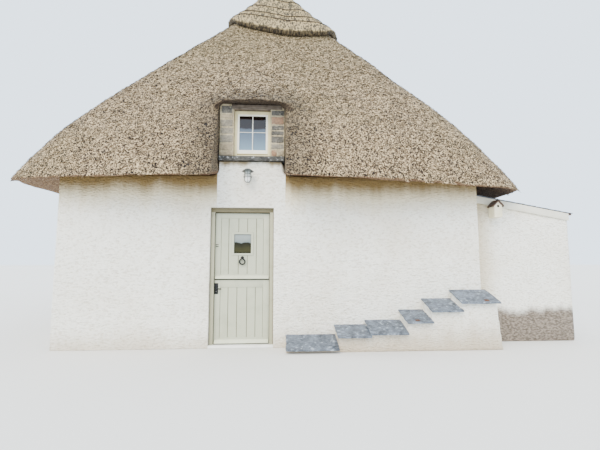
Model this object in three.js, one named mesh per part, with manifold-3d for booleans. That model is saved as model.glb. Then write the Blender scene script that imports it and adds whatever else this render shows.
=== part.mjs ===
// A thatched cottage: a white rubble-stone block under one hipped coat of reed, with an upper window set in a
// bay cut through the thatch, a two-leaf stable door, and a slated lean-to at its right.
import * as THREE from "three";
import { mergeVertices } from "three/addons/utils/BufferGeometryUtils.js";
import Module from "manifold-3d";

const wasm = await Module();
wasm.setup();

// Millimetres. X runs to the right along the front wall, Y back into the cottage and Z up.
// The origin is the middle of the main block, on the ground.
const gap = 0.3; // left between pieces that rest on one another
const over = 1; // by which cuts run past a face, and shapes that are joined run into one another

const block = { halfWidth: 3225, halfDepth: 4500, wall: 550, wallTop: 2600 };
const floor = { top: 35 };
const loft = { top: 2300, boards: 30, joistWidth: 70, joistDepth: 150, joistSpacing: 610, joists: 13 };

const coat = {
  apex: 7620,
  eave: 2420,
  ridgeEnd: 1850, // the ridge runs this far either side of the middle
  crownHalfWidth: 15,
  crownRound: 110,
  crownSharpness: 30,
  halfWidth: 4090,
  halfDepth: 5240,
  bellyLeft: 1600, // how far each long slope swells above a straight line
  bellyRight: 980,
  bellyEnds: 0.48, // the same for the front and back slopes, as a share of their reach
  dropLeft: 25, // the front and back eaves sink towards their corners
  dropRight: 105,
  liftLeft: 95, // and rise again round them, on to the long sides
  liftRight: 80,
  bow: 500, // the front and back eaves curve back by this much at their ends
  cornerTop: 400,
  cornerGrowth: 300,
  innerApex: 7000,
  innerHalfWidth: 3030,
  innerHalfDepth: 4275,
  seatLip: 20,
  rows: [0, 0.03, 0.1, 0.2, 0.35, 0.5, 0.6, 0.7, 0.7625, 0.7654, 0.85, 0.93, 1],
  mitre: 0.3, // each slope stands off its hips by this
};
const eyebrow = { lip: 3648, lift: 270, halfSpan: 690, fade: 1000 };
const cap = {
  crownThickness: 60,
  edgeThickness: 122,
  rise: 50,
  clearance: 1.4,
  rows: [0, 0.04, 0.15, 0.35, 0.65, 1], // shares of the way from the crown to the cap's edge
  lip: { in: 20, down: 60 }, // from the coat's face under the edge to the foot of the cut lip
  middle: 6320, // height of the middle of its underside, inside the coat
  coatRows: 6, // the rows of the coat that lie under it
  measuredAt: 0.27, // how far down the slopes its places are measured
  // How far down the slopes the edge comes, at places across the cottage from left to right.
  edge: [
    { x: -1240, s: 0.211 },
    { x: -800, s: 0.27 },
    { x: 0, s: 0.343 },
    { x: 250, s: 0.352 },
    { x: 800, s: 0.324 },
    { x: 1200, s: 0.275 },
  ],
};

const bay = { x: -355, halfWidth: 500, top: 3720, lipTop: 3645, lipAt: 330, lipReach: 800, cutDepth: 1300,
  cutBottom: 2220 };
const sill = { bottom: 2810, top: 2880, reach: 60 };
const windowFrame = { width: 570, height: 760, recess: 80, depth: 70, jamb: 75, head: 70, foot: 135,
  glass: 6 };
const timberLintel = { left: -325, right: 470, depth: 200 };
const sideWindow = { y: 0, bottom: 1000 };

const doorway = { x: -490, halfWidth: 480, top: 2092 };
const threshold = { top: 36, back: 549.7 };
const doorFrame = { front: 70, back: 164, stopBack: 115, stopHalfWidth: 420, rebateHalfWidth: 436,
  stopTop: 2025, rebateTop: 2040 };
const leaf = { left: -429, right: 431, front: 120, back: 164, bottom: 43, split: 1003, splitGap: 5.5,
  top: 2035 };
const hinge = { x: 433.5, y: 172.7, radius: 8, knuckle: 40, flap: 3, flapReach: 36,
  heights: [250, 800, 1150, 1850] };
const weatherBar = { halfWidth: 405, reach: 35, footBottom: 50, footTop: 111, ledgeBottom: 1009,
  ledgeTop: 1064, nose: 12 };
const doorGlass = { halfWidth: 130, bottom: 1395, top: 1690, thickness: 6, setBack: 19 };

const knocker = { z: 1328, plateRadius: 24, plate: 5, cheek: 4, cheekHeight: 12, cheekFront: 5, pinReach: 21,
  pinRadius: 4, barLength: 14, neck: 19, neckWidth: 6, ringRadius: 41, ringTube: 10 };
const latch = { x: -386, plateHalfWidth: 28, plateBottom: 778, plateTop: 943, plate: 4, pivotZ: 858,
  roseRadius: 14, rose: 8, neckRadius: 8, neck: 36, armLength: 84, armHeight: 16, armThickness: 12 };

const lantern = { x: -405, hoodTop: 2662, armDrop: 14, plateRadius: 45, plate: 12, reach: 120, armRadius: 9,
  hoodRadius: 93, hoodHeight: 42, hoodLip: 4, hoodShoulder: 8, collarRadius: 46, collarBottom: 2568,
  glassRadius: 42, glassBottom: 2452, jarFoot: [[0, 0], [20, 6], [36, 22]], jarShoulder: 44 };

const leanTo = { right: 4855, front: -4300, back: 900, wall: 300, eaveReach: 80, vergeReach: 30, slates: 25,
  roof: 100, topAt: 4025, topHeight: 2232, pitch: 0.18, board: 25, boardDrop: 140 };
const innerDoorway = { y: -1150, halfWidth: 450, top: 2000 };

const plinth = { face: 330, slateReach: 410, slate: 22, lap: 25, clearance: 3, batter: 80 };
// Each step of the plinth: where it starts, and how high its slate lies at the wall and at its front edge.
const steps = [
  { x: 175, back: 190, front: 62 },
  { x: 925, back: 330, front: 230 },
  { x: 1385, back: 395, front: 265 },
  { x: 1915, back: 545, front: 420 },
  { x: 2275, back: 710, front: 575 },
  { x: 2715, back: 840, front: 690 },
];
const plinthEnd = 3245;

const birdBox = { x: 3550, width: 130, depth: 165, bottom: 1972, eaves: 2155, apex: 2221, board: 12,
  holeRadius: 19, holeZ: 2148, roof: 20, roofReach: 20, packing: 29, packingHalfWidth: 35, packingTop: 2150 };

const paint = {
  roughcast: { color: "#e6e4dc", roughness: 0.95 },
  rubble: { color: "#9b9384", roughness: 0.95 },
  reed: { color: "#8f8471", roughness: 1 },
  ridgeReed: { color: "#97895f", roughness: 1 },
  slate: { color: "#566170", roughness: 0.7 },
  oldTimber: { color: "#4c423b", roughness: 0.9 },
  floorTimber: { color: "#8a6a48", roughness: 0.8 },
  flagstone: { color: "#8b8880", roughness: 0.9 },
  sage: { color: "#c5c8b8", roughness: 0.55 },
  cream: { color: "#e9e5d3", roughness: 0.5 },
  glass: { color: "#4c5560", roughness: 0.1 },
  blackIron: { color: "#1d1d1e", roughness: 0.5, metalness: 0.6 },
  zinc: { color: "#8e9190", roughness: 0.45, metalness: 0.8 },
  white: { color: "#ecebe6", roughness: 0.7 },
  brownRoof: { color: "#3d2f27", roughness: 0.8 },
};

const cottage = new THREE.Group();

function addPiece(name, geometry, finish, parent = cottage) {
  const mesh = new THREE.Mesh(geometry, new THREE.MeshStandardMaterial(finish));
  mesh.name = name;
  parent.add(mesh);
  return mesh;
}

// A closed geometry as a solid that can be joined and cut.
function solid(geometry) {
  const bare = geometry.clone();
  bare.deleteAttribute("normal");
  bare.deleteAttribute("uv");
  const merged = mergeVertices(bare, 1e-3);
  const vertProperties = merged.attributes.position.array;
  const triVerts = new Uint32Array(merged.index.array);
  return new wasm.Manifold(new wasm.Mesh({ numProp: 3, vertProperties, triVerts }));
}

function geometryOf(body) {
  const mesh = body.getMesh();
  const geometry = new THREE.BufferGeometry();
  geometry.setAttribute("position", new THREE.BufferAttribute(new Float32Array(mesh.vertProperties), 3));
  geometry.setIndex(new THREE.BufferAttribute(new Uint32Array(mesh.triVerts), 1));
  geometry.computeVertexNormals();
  return geometry;
}

const joined = (...geometries) => geometryOf(geometries.map(solid).reduce((all, one) => all.add(one)));
const carved = (geometry, ...holes) =>
  geometryOf(holes.map(solid).reduce((left, hole) => left.subtract(hole), solid(geometry)));

function box(x0, x1, y0, y1, z0, z1) {
  const middle = [(x0 + x1) / 2, (y0 + y1) / 2, (z0 + z1) / 2];
  return new THREE.BoxGeometry(x1 - x0, y1 - y0, z1 - z0).translate(...middle);
}

const shapeOf = (points) => new THREE.Shape(points.map(([x, y]) => new THREE.Vector2(x, y)));

// A front elevation outline, in X and Z, run back from y0 to y1.
function prismAlongY(points, y0, y1) {
  const geometry = new THREE.ExtrudeGeometry(shapeOf(points), { depth: y1 - y0, bevelEnabled: false });
  return geometry.rotateX(Math.PI / 2).translate(0, y1, 0);
}

// A side elevation outline, in Y and Z, run across from x0 to x1.
function prismAlongX(points, x0, x1) {
  const geometry = new THREE.ExtrudeGeometry(shapeOf(points), { depth: x1 - x0, bevelEnabled: false });
  const turn = new THREE.Matrix4().makeBasis(
    new THREE.Vector3(0, 1, 0), new THREE.Vector3(0, 0, 1), new THREE.Vector3(1, 0, 0));
  return geometry.applyMatrix4(turn).translate(x0, 0, 0);
}

// A plan outline, in X and Y, run up from z0 to z1.
function prismAlongZ(points, z0, z1) {
  const geometry = new THREE.ExtrudeGeometry(shapeOf(points), { depth: z1 - z0, bevelEnabled: false });
  return geometry.translate(0, 0, z0);
}

const rod = (radius, length, sides = 16) => new THREE.CylinderGeometry(radius, radius, length, sides);
const rodAlongX = (radius, x0, x1, y, z) =>
  rod(radius, x1 - x0).rotateZ(Math.PI / 2).translate((x0 + x1) / 2, y, z);
const rodAlongY = (radius, y0, y1, x, z) => rod(radius, y1 - y0).translate(x, (y0 + y1) / 2, z);
const rodAlongZ = (radius, z0, z1, x, y) =>
  rod(radius, z1 - z0).rotateX(Math.PI / 2).translate(x, y, (z0 + z1) / 2);
const latheAlongZ = (points, x, y, z, sides = 24) => {
  const profile = points.map(([radius, height]) => new THREE.Vector2(radius, height));
  return new THREE.LatheGeometry(profile, sides).rotateX(Math.PI / 2).translate(x, y, z);
};

const frontFace = -block.halfDepth;
const innerX = block.halfWidth - block.wall;
const innerY = block.halfDepth - block.wall;

// Walls of the main block: the front and back run its full width, and the sides stand between them.
function buildWalls() {
  const doorLeft = doorway.x - doorway.halfWidth;
  const doorRight = doorway.x + doorway.halfWidth;
  const top = block.wallTop;
  const wallBack = -innerY;
  addPiece("front_wall_left", box(-block.halfWidth, doorLeft, frontFace, wallBack, 0, top), paint.roughcast);
  addPiece("front_wall_right", box(doorRight, block.halfWidth, frontFace, wallBack, 0, top), paint.roughcast);

  const head = [
    [doorLeft + gap, doorway.top],
    [doorRight - gap, doorway.top],
    [doorRight - gap, top + gap],
    [bay.x + bay.halfWidth - gap, top + gap],
    [bay.x + bay.halfWidth - gap, sill.bottom],
    [bay.x - bay.halfWidth + gap, sill.bottom],
    [bay.x - bay.halfWidth + gap, top],
    [doorLeft + gap, top],
  ];
  addPiece("front_wall_head", prismAlongY(head, frontFace, wallBack), paint.roughcast);

  const backBay = [-bay.x - bay.halfWidth + gap, -bay.x + bay.halfWidth - gap];
  const backWall = [
    [-block.halfWidth, 0],
    [block.halfWidth, 0],
    [block.halfWidth, top],
    [backBay[1], top],
    [backBay[1], sill.bottom],
    [backBay[0], sill.bottom],
    [backBay[0], top],
    [-block.halfWidth, top],
  ];
  addPiece("back_wall", prismAlongY(backWall, innerY, block.halfDepth), paint.roughcast);

  const sideLength = innerY - gap;
  const windowHole = box(-block.halfWidth - over, -innerX + over, sideWindow.y - windowFrame.width / 2 - gap,
    sideWindow.y + windowFrame.width / 2 + gap, sideWindow.bottom - gap,
    sideWindow.bottom + sill.top - sill.bottom + windowFrame.height + 2 * gap);
  const leftWall = box(-block.halfWidth, -innerX, -sideLength, sideLength, 0, top);
  addPiece("left_wall", carved(leftWall, windowHole), paint.roughcast);

  const rightWall = [
    [-sideLength, 0],
    [innerDoorway.y - innerDoorway.halfWidth, 0],
    [innerDoorway.y - innerDoorway.halfWidth, innerDoorway.top],
    [innerDoorway.y + innerDoorway.halfWidth, innerDoorway.top],
    [innerDoorway.y + innerDoorway.halfWidth, 0],
    [sideLength, 0],
    [sideLength, top],
    [-sideLength, top],
  ];
  addPiece("right_wall", prismAlongX(rightWall, innerX, block.halfWidth), paint.roughcast);
}

function buildFloors() {
  const x = innerX - gap;
  const y = innerY - gap;
  const passageHalf = innerDoorway.halfWidth - gap;
  const passage = [innerDoorway.y - passageHalf, innerDoorway.y + passageHalf];
  const sideLeft = block.halfWidth + gap;
  const sideRight = leanTo.right - leanTo.wall - gap;
  const sideFront = leanTo.front + leanTo.wall + gap;
  const sideBack = leanTo.back - leanTo.wall - gap;
  const plan = [
    [-x, -y], [x, -y], [x, passage[0]], [sideLeft, passage[0]], [sideLeft, sideFront], [sideRight, sideFront],
    [sideRight, sideBack], [sideLeft, sideBack], [sideLeft, passage[1]], [x, passage[1]], [x, y], [-x, y],
  ];
  addPiece("ground_floor", prismAlongZ(plan, 0, floor.top), paint.flagstone);

  // Boards on joists that run from side wall to side wall.
  const underside = loft.top - loft.boards;
  const comb = [[y, underside], [y, loft.top], [-y, loft.top], [-y, underside]];
  for (let i = 0; i < loft.joists; i++) {
    const middle = (i - (loft.joists - 1) / 2) * loft.joistSpacing;
    const near = middle - loft.joistWidth / 2;
    const far = middle + loft.joistWidth / 2;
    comb.push([near, underside], [near, underside - loft.joistDepth], [far, underside - loft.joistDepth],
      [far, underside]);
  }
  addPiece("loft_floor", prismAlongX(comb, -x, x), paint.floorTimber);
}

// How far the coat of thatch reaches from the middle at height share s, from 0 at the crown to 1 at the eave.
function reachAcross(side, s) {
  const belly = side < 0 ? coat.bellyLeft : coat.bellyRight;
  const straight = coat.crownHalfWidth + (coat.halfWidth - coat.crownHalfWidth - coat.crownRound) * s;
  return straight + belly * s * s * (1 - s) + coat.crownRound * (1 - (1 - s) ** coat.crownSharpness);
}

const reachAlong = (s) =>
  coat.ridgeEnd + (coat.halfDepth - coat.ridgeEnd) * (s + coat.bellyEnds * s ** 4 * (1 - s));

// The eyebrow of thatch that hoods each upper window, swept out from the slope above its lip.
function eyebrowLift(x, z) {
  if (z < eyebrow.lip) return 0;
  const across = Math.max(0, 1 - (Math.abs(x) / eyebrow.halfSpan) ** 4);
  const fade = Math.max(0, 1 - (z - eyebrow.lip) / eyebrow.fade);
  return eyebrow.lift * across * fade * fade;
}

const straightShare = 0.8; // the share of each slope between its rounded hips

// A point on the coat's outer face. A slope is 0 front, 1 right, 2 back or 3 left; w runs from -1 to 1 along
// it, turning to the left seen from above, and its ends are the middles of the rounded hips.
function coatPoint(slope, w, s) {
  const along = Math.min(1, Math.abs(w) / straightShare);
  const fromMiddle = (Math.max(0, Math.abs(w) - straightShare) / (1 - straightShare)) * (Math.PI / 4);
  const endOn = slope % 2 === 0;
  const turn = endOn ? fromMiddle : Math.PI / 2 - fromMiddle; // which way it faces, from along Y to along X
  const sideX = endOn ? Math.sign(slope === 0 ? w : -w) || 1 : slope === 1 ? 1 : -1;
  const sideY = endOn ? (slope === 0 ? -1 : 1) : Math.sign(slope === 1 ? w : -w) || 1;
  const a = reachAcross(sideX, s);
  const b = reachAlong(s);
  const r = Math.min(a / 2, coat.cornerTop + coat.cornerGrowth * s);
  let x = a - r + r * Math.sin(turn);
  let y = b - r + r * Math.cos(turn) - coat.bow * s * (x / a) ** 2;
  if (endOn && fromMiddle === 0) {
    x = along * (a - r);
    y = b - coat.bow * s * (x / a) ** 2;
  }
  if (!endOn && fromMiddle === 0) y = along * (b - r - coat.bow * s);
  const [drop, lift] = sideX < 0 ? [coat.dropLeft, coat.liftLeft] : [coat.dropRight, coat.liftRight];
  const sag = s ** 4 * ((drop * x) / coat.halfWidth - lift * Math.sin(turn) ** 2);
  const z = coat.apex - (coat.apex - coat.eave) * s - sag;
  const bayX = slope === 0 ? bay.x : -bay.x;
  if (endOn) y += eyebrowLift(sideX * x - bayX, z);
  return new THREE.Vector3(sideX * x, sideY * y, z);
}

// The inner face is four flat slopes from the wall heads to the rafters' apex, and its last two points are
// the seat on the wall head.
function innerPoint(slope, w, row) {
  const last = coat.rows.length - 1;
  const share = Math.min(1, row / (last - 1));
  const outer = row === last;
  const outerEdge = { x: block.halfWidth + coat.seatLip, y: block.halfDepth + coat.seatLip };
  const widening = coat.innerHalfWidth - coat.crownHalfWidth;
  const halfX = outer ? outerEdge.x : coat.crownHalfWidth + widening * share;
  const halfY = outer ? outerEdge.y : coat.ridgeEnd + (coat.innerHalfDepth - coat.ridgeEnd) * share;
  const seat = block.wallTop + gap;
  const z = outer ? seat : coat.innerApex - (coat.innerApex - seat) * share;
  const here = coatPoint(slope, w, coat.rows[row]);
  const corner = coatPoint(slope, Math.sign(w) || 1, coat.rows[row]);
  if (slope === 0) return new THREE.Vector3((here.x / Math.abs(corner.x)) * halfX, -halfY, z);
  if (slope === 2) return new THREE.Vector3((here.x / Math.abs(corner.x)) * halfX, halfY, z);
  return new THREE.Vector3(slope === 1 ? halfX : -halfX, (here.y / Math.abs(corner.y)) * halfY, z);
}

const stationsOf = (straightCount, cornerCount) => {
  const list = [];
  for (let i = 0; i < cornerCount; i++) list.push(-1 + ((1 - straightShare) * i) / cornerCount);
  for (let i = 0; i <= straightCount; i++) list.push(straightShare * ((2 * i) / straightCount - 1));
  for (let i = 1; i <= cornerCount; i++) list.push(straightShare + ((1 - straightShare) * i) / cornerCount);
  return list;
};
const endStations = stationsOf(24, 3);
const sideStations = stationsOf(4, 3);

function trianglesFrom(points, faces) {
  const geometry = new THREE.BufferGeometry();
  const places = points.flatMap((p) => [p.x, p.y, p.z]);
  geometry.setAttribute("position", new THREE.Float32BufferAttribute(places, 3));
  geometry.setIndex(faces);
  return geometry;
}

// One slope of the coat, lofted from section to section between its two hips.
function slopeOfThatch(slope) {
  const stations = slope % 2 === 0 ? endStations : sideStations;
  const rows = coat.rows.length;
  const around = 2 * rows;
  const away = [[0, -1], [1, 0], [0, 1], [-1, 0]][slope];
  const points = [];
  for (const w of stations) {
    const outer = coat.rows.map((s) => coatPoint(slope, w, s));
    const inner = coat.rows.map((s, row) => innerPoint(slope, w, row)).reverse();
    points.push(...outer, ...inner);
  }
  points.forEach((p) => p.add(new THREE.Vector3(away[0] * coat.mitre, away[1] * coat.mitre, 0)));
  const faces = [];
  for (let j = 0; j + 1 < stations.length; j++) {
    for (let k = 0; k < around; k++) {
      const next = (k + 1) % around;
      const [a, b] = [j * around + k, j * around + next];
      const [c, d] = [a + around, b + around];
      faces.push(a, b, c, b, d, c);
    }
  }
  const end = (stations.length - 1) * around;
  for (let k = 0; k + 1 < rows; k++) {
    const mate = around - 1 - k;
    faces.push(k, mate, mate - 1, k, mate - 1, k + 1);
    faces.push(end + k, end + mate - 1, end + mate, end + k, end + k + 1, end + mate - 1);
  }
  return trianglesFrom(points, faces);
}

// The cut through the thatch for an upper window: its head rises from the eyebrow's lip to the wall face.
function bayCut(towards) {
  const face = towards * block.halfDepth;
  const outline = [
    [face + towards * bay.lipReach, bay.cutBottom],
    [face - towards * bay.cutDepth, bay.cutBottom],
    [face - towards * bay.cutDepth, bay.top + gap],
    [face, bay.top + gap],
    [face + towards * bay.lipAt, bay.lipTop],
    [face + towards * bay.lipReach, bay.lipTop],
  ];
  const middle = towards < 0 ? bay.x : -bay.x;
  return prismAlongX(outline, middle - bay.halfWidth, middle + bay.halfWidth);
}

function capEdgeAt(x) {
  const last = cap.edge.length - 1;
  const held = Math.min(cap.edge[last].x, Math.max(cap.edge[0].x, x));
  const i = Math.min(last - 1, cap.edge.findLastIndex((place) => place.x <= held));
  const [from, to] = [cap.edge[i], cap.edge[i + 1]];
  return from.s + ((to.s - from.s) * (held - from.x)) / (to.x - from.x);
}

// A closed cone-like body whose sides are columns of points, each from the top down, with a point in the
// middle of its top and of its underside.
function tent(columns, topMiddle, bottomMiddle) {
  const rows = columns[0].length;
  const points = [...columns.flat(), topMiddle, bottomMiddle];
  const [top, bottom] = [points.length - 2, points.length - 1];
  const faces = [];
  columns.forEach((column, j) => {
    const here = j * rows;
    const next = ((j + 1) % columns.length) * rows;
    for (let k = 0; k + 1 < rows; k++) {
      faces.push(here + k, here + k + 1, next + k, here + k + 1, next + k + 1, next + k);
    }
    faces.push(top, here, next, bottom, next + rows - 1, here + rows - 1);
  });
  return trianglesFrom(points, faces);
}

// The ridge cap is a second, thinner coat over the top of all four slopes, and its edge stands out over them.
function ridgeCap() {
  const ring = [0, 1, 2, 3].flatMap((slope) =>
    (slope % 2 === 0 ? endStations : sideStations).slice(0, -1).map((w) => ({ slope, w })));
  const moved = (p, out, up) => {
    const away = new THREE.Vector3(p.x, Math.sign(p.y) * Math.max(0, Math.abs(p.y) - coat.ridgeEnd), 0);
    if (away.length() > Math.abs(out)) away.setLength(Math.abs(out));
    return p.clone().addScaledVector(away, Math.sign(out)).add(new THREE.Vector3(0, 0, up));
  };
  const thickening = cap.edgeThickness - cap.crownThickness;
  const outside = ring.map(({ slope, w }) => {
    const edge = capEdgeAt(coatPoint(slope, w, cap.measuredAt).x);
    const face = cap.rows.map((share) =>
      moved(coatPoint(slope, w, share * edge), cap.crownThickness + thickening * share, cap.rise));
    return [...face, moved(coatPoint(slope, w, edge), -cap.lip.in, -cap.lip.down)];
  });
  const above = new THREE.Vector3(0, 0, cap.clearance);
  const coatBelow = ring.map(({ slope, w }) =>
    coat.rows.slice(0, cap.coatRows).map((s) => coatPoint(slope, w, s).add(above)));
  const middle = (z) => new THREE.Vector3(0, 0, z);
  const whole = tent(outside, middle(coat.apex + cap.rise), middle(cap.middle));
  const lastRow = coatBelow[0][cap.coatRows - 1].z;
  return carved(whole, tent(coatBelow, middle(coat.apex + cap.clearance), middle(lastRow)));
}

function buildThatch() {
  const names = ["thatch_front", "thatch_right", "thatch_back", "thatch_left"];
  names.forEach((name, slope) => {
    const coatSolid = slopeOfThatch(slope);
    const hasBay = slope % 2 === 0;
    const shape = hasBay ? carved(coatSolid, bayCut(slope === 0 ? -1 : 1)) : geometryOf(solid(coatSolid));
    addPiece(name, shape, paint.reed);
  });
  addPiece("thatch_ridge_cap", ridgeCap(), paint.ridgeReed);
}

// A window seen from outside, in a group whose origin is the middle of its sill's top at the wall face.
function addWindow(prefix, parent) {
  const half = windowFrame.width / 2 - gap;
  const height = windowFrame.height;
  const near = windowFrame.recess;
  const far = near + windowFrame.depth;
  const opening = { half: half - windowFrame.jamb, bottom: windowFrame.foot, top: height - windowFrame.head };
  const frame = box(-half, half, near, far, gap, height);
  const hole = box(-opening.half, opening.half, near - over, far + over, opening.bottom, opening.top);
  addPiece(prefix + "_window_frame", carved(frame, hole), paint.cream, parent);
  const middle = (near + far) / 2;
  const pane = box(-opening.half + gap, opening.half - gap, middle - windowFrame.glass / 2,
    middle + windowFrame.glass / 2, opening.bottom + gap, opening.top - gap);
  addPiece(prefix + "_window_glass", pane, paint.glass, parent);
}

// The bare stone round an upper window, open at its foot on to the slate sill that runs through the wall.
function addUpperWindow(prefix, turn) {
  const group = new THREE.Group();
  group.rotation.z = turn;
  const upwards = new THREE.Vector3(0, 0, 1);
  const middle = new THREE.Vector3(bay.x, frontFace, sill.top).applyAxisAngle(upwards, turn);
  group.position.copy(middle);
  cottage.add(group);
  addWindow(prefix, group);
  const half = bay.halfWidth - gap;
  const top = bay.top - sill.top;
  const height = windowFrame.height;
  const stone = box(-half, half, 0, block.wall, gap, top);
  const windowHalf = windowFrame.width / 2;
  const window = box(-windowHalf, windowHalf, -over, block.wall + over, -over, height + gap);
  const { left, right, depth } = timberLintel;
  const lintelSeat = box(left, right, -over, depth, height + gap, top + over);
  addPiece(prefix + "_window_surround", carved(stone, window, lintelSeat), paint.rubble, group);
  const lintel = box(left + gap, right - gap, 0, depth - gap, height + 2 * gap, top);
  addPiece(prefix + "_window_lintel", lintel, paint.oldTimber, group);
  const slab = box(-half, half, -sill.reach, block.wall, sill.bottom - sill.top + gap, 0);
  addPiece(prefix + "_window_sill", slab, paint.slate, group);
}

function addSideWindow() {
  const group = new THREE.Group();
  const thickness = sill.top - sill.bottom;
  group.rotation.z = -Math.PI / 2;
  group.position.set(-block.halfWidth, sideWindow.y, sideWindow.bottom + thickness);
  cottage.add(group);
  addWindow("left", group);
  const half = windowFrame.width / 2;
  addPiece("left_window_sill", box(-half, half, -sill.reach, block.wall, -thickness, 0), paint.slate, group);
}

// The stable door stands in a group whose origin is the middle of the doorway at the wall face, at ground
// level.
function buildDoor() {
  const group = new THREE.Group();
  group.position.set(doorway.x, frontFace, 0);
  cottage.add(group);
  const outside = doorway.halfWidth - gap;
  addPiece("door_threshold", box(-outside, outside, 0, threshold.back, 0, threshold.top), paint.white, group);

  const jamb = (side) => {
    const plan = [
      [side * outside, doorFrame.front],
      [side * doorFrame.stopHalfWidth, doorFrame.front],
      [side * doorFrame.stopHalfWidth, doorFrame.stopBack],
      [side * doorFrame.rebateHalfWidth, doorFrame.stopBack],
      [side * doorFrame.rebateHalfWidth, doorFrame.back],
      [side * outside, doorFrame.back],
    ];
    return prismAlongZ(plan, threshold.top + gap, doorFrame.stopTop - gap);
  };
  addPiece("door_jamb_left", geometryOf(solid(jamb(-1))), paint.sage, group);

  // Each hinge is a fixed knuckle on the jamb with the leaf's own knuckle resting on top of it.
  const flapBack = doorFrame.back + hinge.flap;
  const fixedKnuckles = hinge.heights.flatMap((z) => [
    rodAlongZ(hinge.radius, z - hinge.knuckle, z, hinge.x, hinge.y),
    box(hinge.x, hinge.x + hinge.flapReach, doorFrame.back - over, flapBack, z - hinge.knuckle, z),
  ]);
  addPiece("door_jamb_right", joined(jamb(1), ...fixedKnuckles), paint.sage, group);

  const head = box(-outside, outside, doorFrame.front, doorFrame.back, doorFrame.stopTop, doorway.top - gap);
  const rebate = box(-doorFrame.rebateHalfWidth, doorFrame.rebateHalfWidth, doorFrame.stopBack,
    doorFrame.back + over, doorFrame.stopTop - over, doorFrame.rebateTop);
  addPiece("door_frame_head", carved(head, rebate), paint.sage, group);

  const leafKnuckle = (z) => [
    rodAlongZ(hinge.radius, z + gap, z + hinge.knuckle, hinge.x, hinge.y),
    box(hinge.x - hinge.flapReach, hinge.x, leaf.back - over, leaf.back + hinge.flap, z + gap,
      z + hinge.knuckle),
  ];
  const barFront = leaf.front - weatherBar.reach;
  const bar = (z0, z1) => {
    const section = [[leaf.front + over, z0], [leaf.front + over, z1], [barFront, z0 + weatherBar.nose],
      [barFront, z0]];
    return prismAlongX(section, -weatherBar.halfWidth, weatherBar.halfWidth);
  };
  const lower = box(leaf.left, leaf.right, leaf.front, leaf.back, leaf.bottom, leaf.split);
  addPiece("door_lower_leaf", joined(lower, bar(weatherBar.footBottom, weatherBar.footTop),
    ...leafKnuckle(hinge.heights[0]), ...leafKnuckle(hinge.heights[1])), paint.sage, group);

  const upper = box(leaf.left, leaf.right, leaf.front, leaf.back, leaf.split + leaf.splitGap, leaf.top);
  const light = box(-doorGlass.halfWidth, doorGlass.halfWidth, leaf.front - over, leaf.back + over,
    doorGlass.bottom, doorGlass.top);
  const upperLeaf = joined(upper, bar(weatherBar.ledgeBottom, weatherBar.ledgeTop),
    ...leafKnuckle(hinge.heights[2]), ...leafKnuckle(hinge.heights[3]));
  addPiece("door_upper_leaf", carved(upperLeaf, light), paint.sage, group);

  const glassFront = leaf.front + doorGlass.setBack;
  addPiece("door_glass", box(-doorGlass.halfWidth + gap, doorGlass.halfWidth - gap, glassFront,
    glassFront + doorGlass.thickness, doorGlass.bottom + gap, doorGlass.top - gap), paint.glass, group);
  addKnocker(group);
  addLatch(group);
}

// The ring swings on a bar held between two cheeks of its back plate.
function addKnocker(parent) {
  const face = leaf.front - gap;
  const pinY = leaf.front - knocker.pinReach;
  const halfBar = knocker.barLength / 2;
  const cheek = (side) => {
    const inside = side * (halfBar + gap);
    const outside = side * (halfBar + gap + knocker.cheek);
    return box(Math.min(inside, outside), Math.max(inside, outside), pinY - knocker.cheekFront, face - over,
      knocker.z - knocker.cheekHeight / 2, knocker.z + knocker.cheekHeight / 2);
  };
  const plate = rodAlongY(knocker.plateRadius, face - knocker.plate, face, 0, knocker.z);
  addPiece("knocker_plate", joined(plate, cheek(-1), cheek(1)), paint.blackIron, parent);
  const ring = new THREE.TorusGeometry(knocker.ringRadius, knocker.ringTube, 8, 24).rotateX(Math.PI / 2)
    .translate(0, pinY, knocker.z - knocker.neck - knocker.ringRadius);
  const neck = box(-knocker.neckWidth / 2, knocker.neckWidth / 2, pinY - knocker.neckWidth / 2,
    pinY + knocker.neckWidth / 2, knocker.z - knocker.neck, knocker.z);
  const bar = rodAlongX(knocker.pinRadius, -halfBar, halfBar, pinY, knocker.z);
  addPiece("knocker_ring", joined(ring, neck, bar), paint.blackIron, parent);
}

function addLatch(parent) {
  const face = leaf.front - gap;
  const roseFront = face - latch.plate - latch.rose;
  const plate = box(latch.x - latch.plateHalfWidth, latch.x + latch.plateHalfWidth, face - latch.plate, face,
    latch.plateBottom, latch.plateTop);
  const rose = rodAlongY(latch.roseRadius, roseFront, face - over, latch.x, latch.pivotZ);
  addPiece("latch_plate", joined(plate, rose), paint.blackIron, parent);
  const neckFront = roseFront - gap - latch.neck;
  const neck = rodAlongY(latch.neckRadius, neckFront, roseFront - gap, latch.x, latch.pivotZ);
  const arm = box(latch.x - latch.neckRadius, latch.x + latch.armLength, neckFront,
    neckFront + latch.armThickness, latch.pivotZ - latch.armHeight / 2, latch.pivotZ + latch.armHeight / 2);
  addPiece("latch_lever", joined(neck, arm), paint.blackIron, parent);
}

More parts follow.
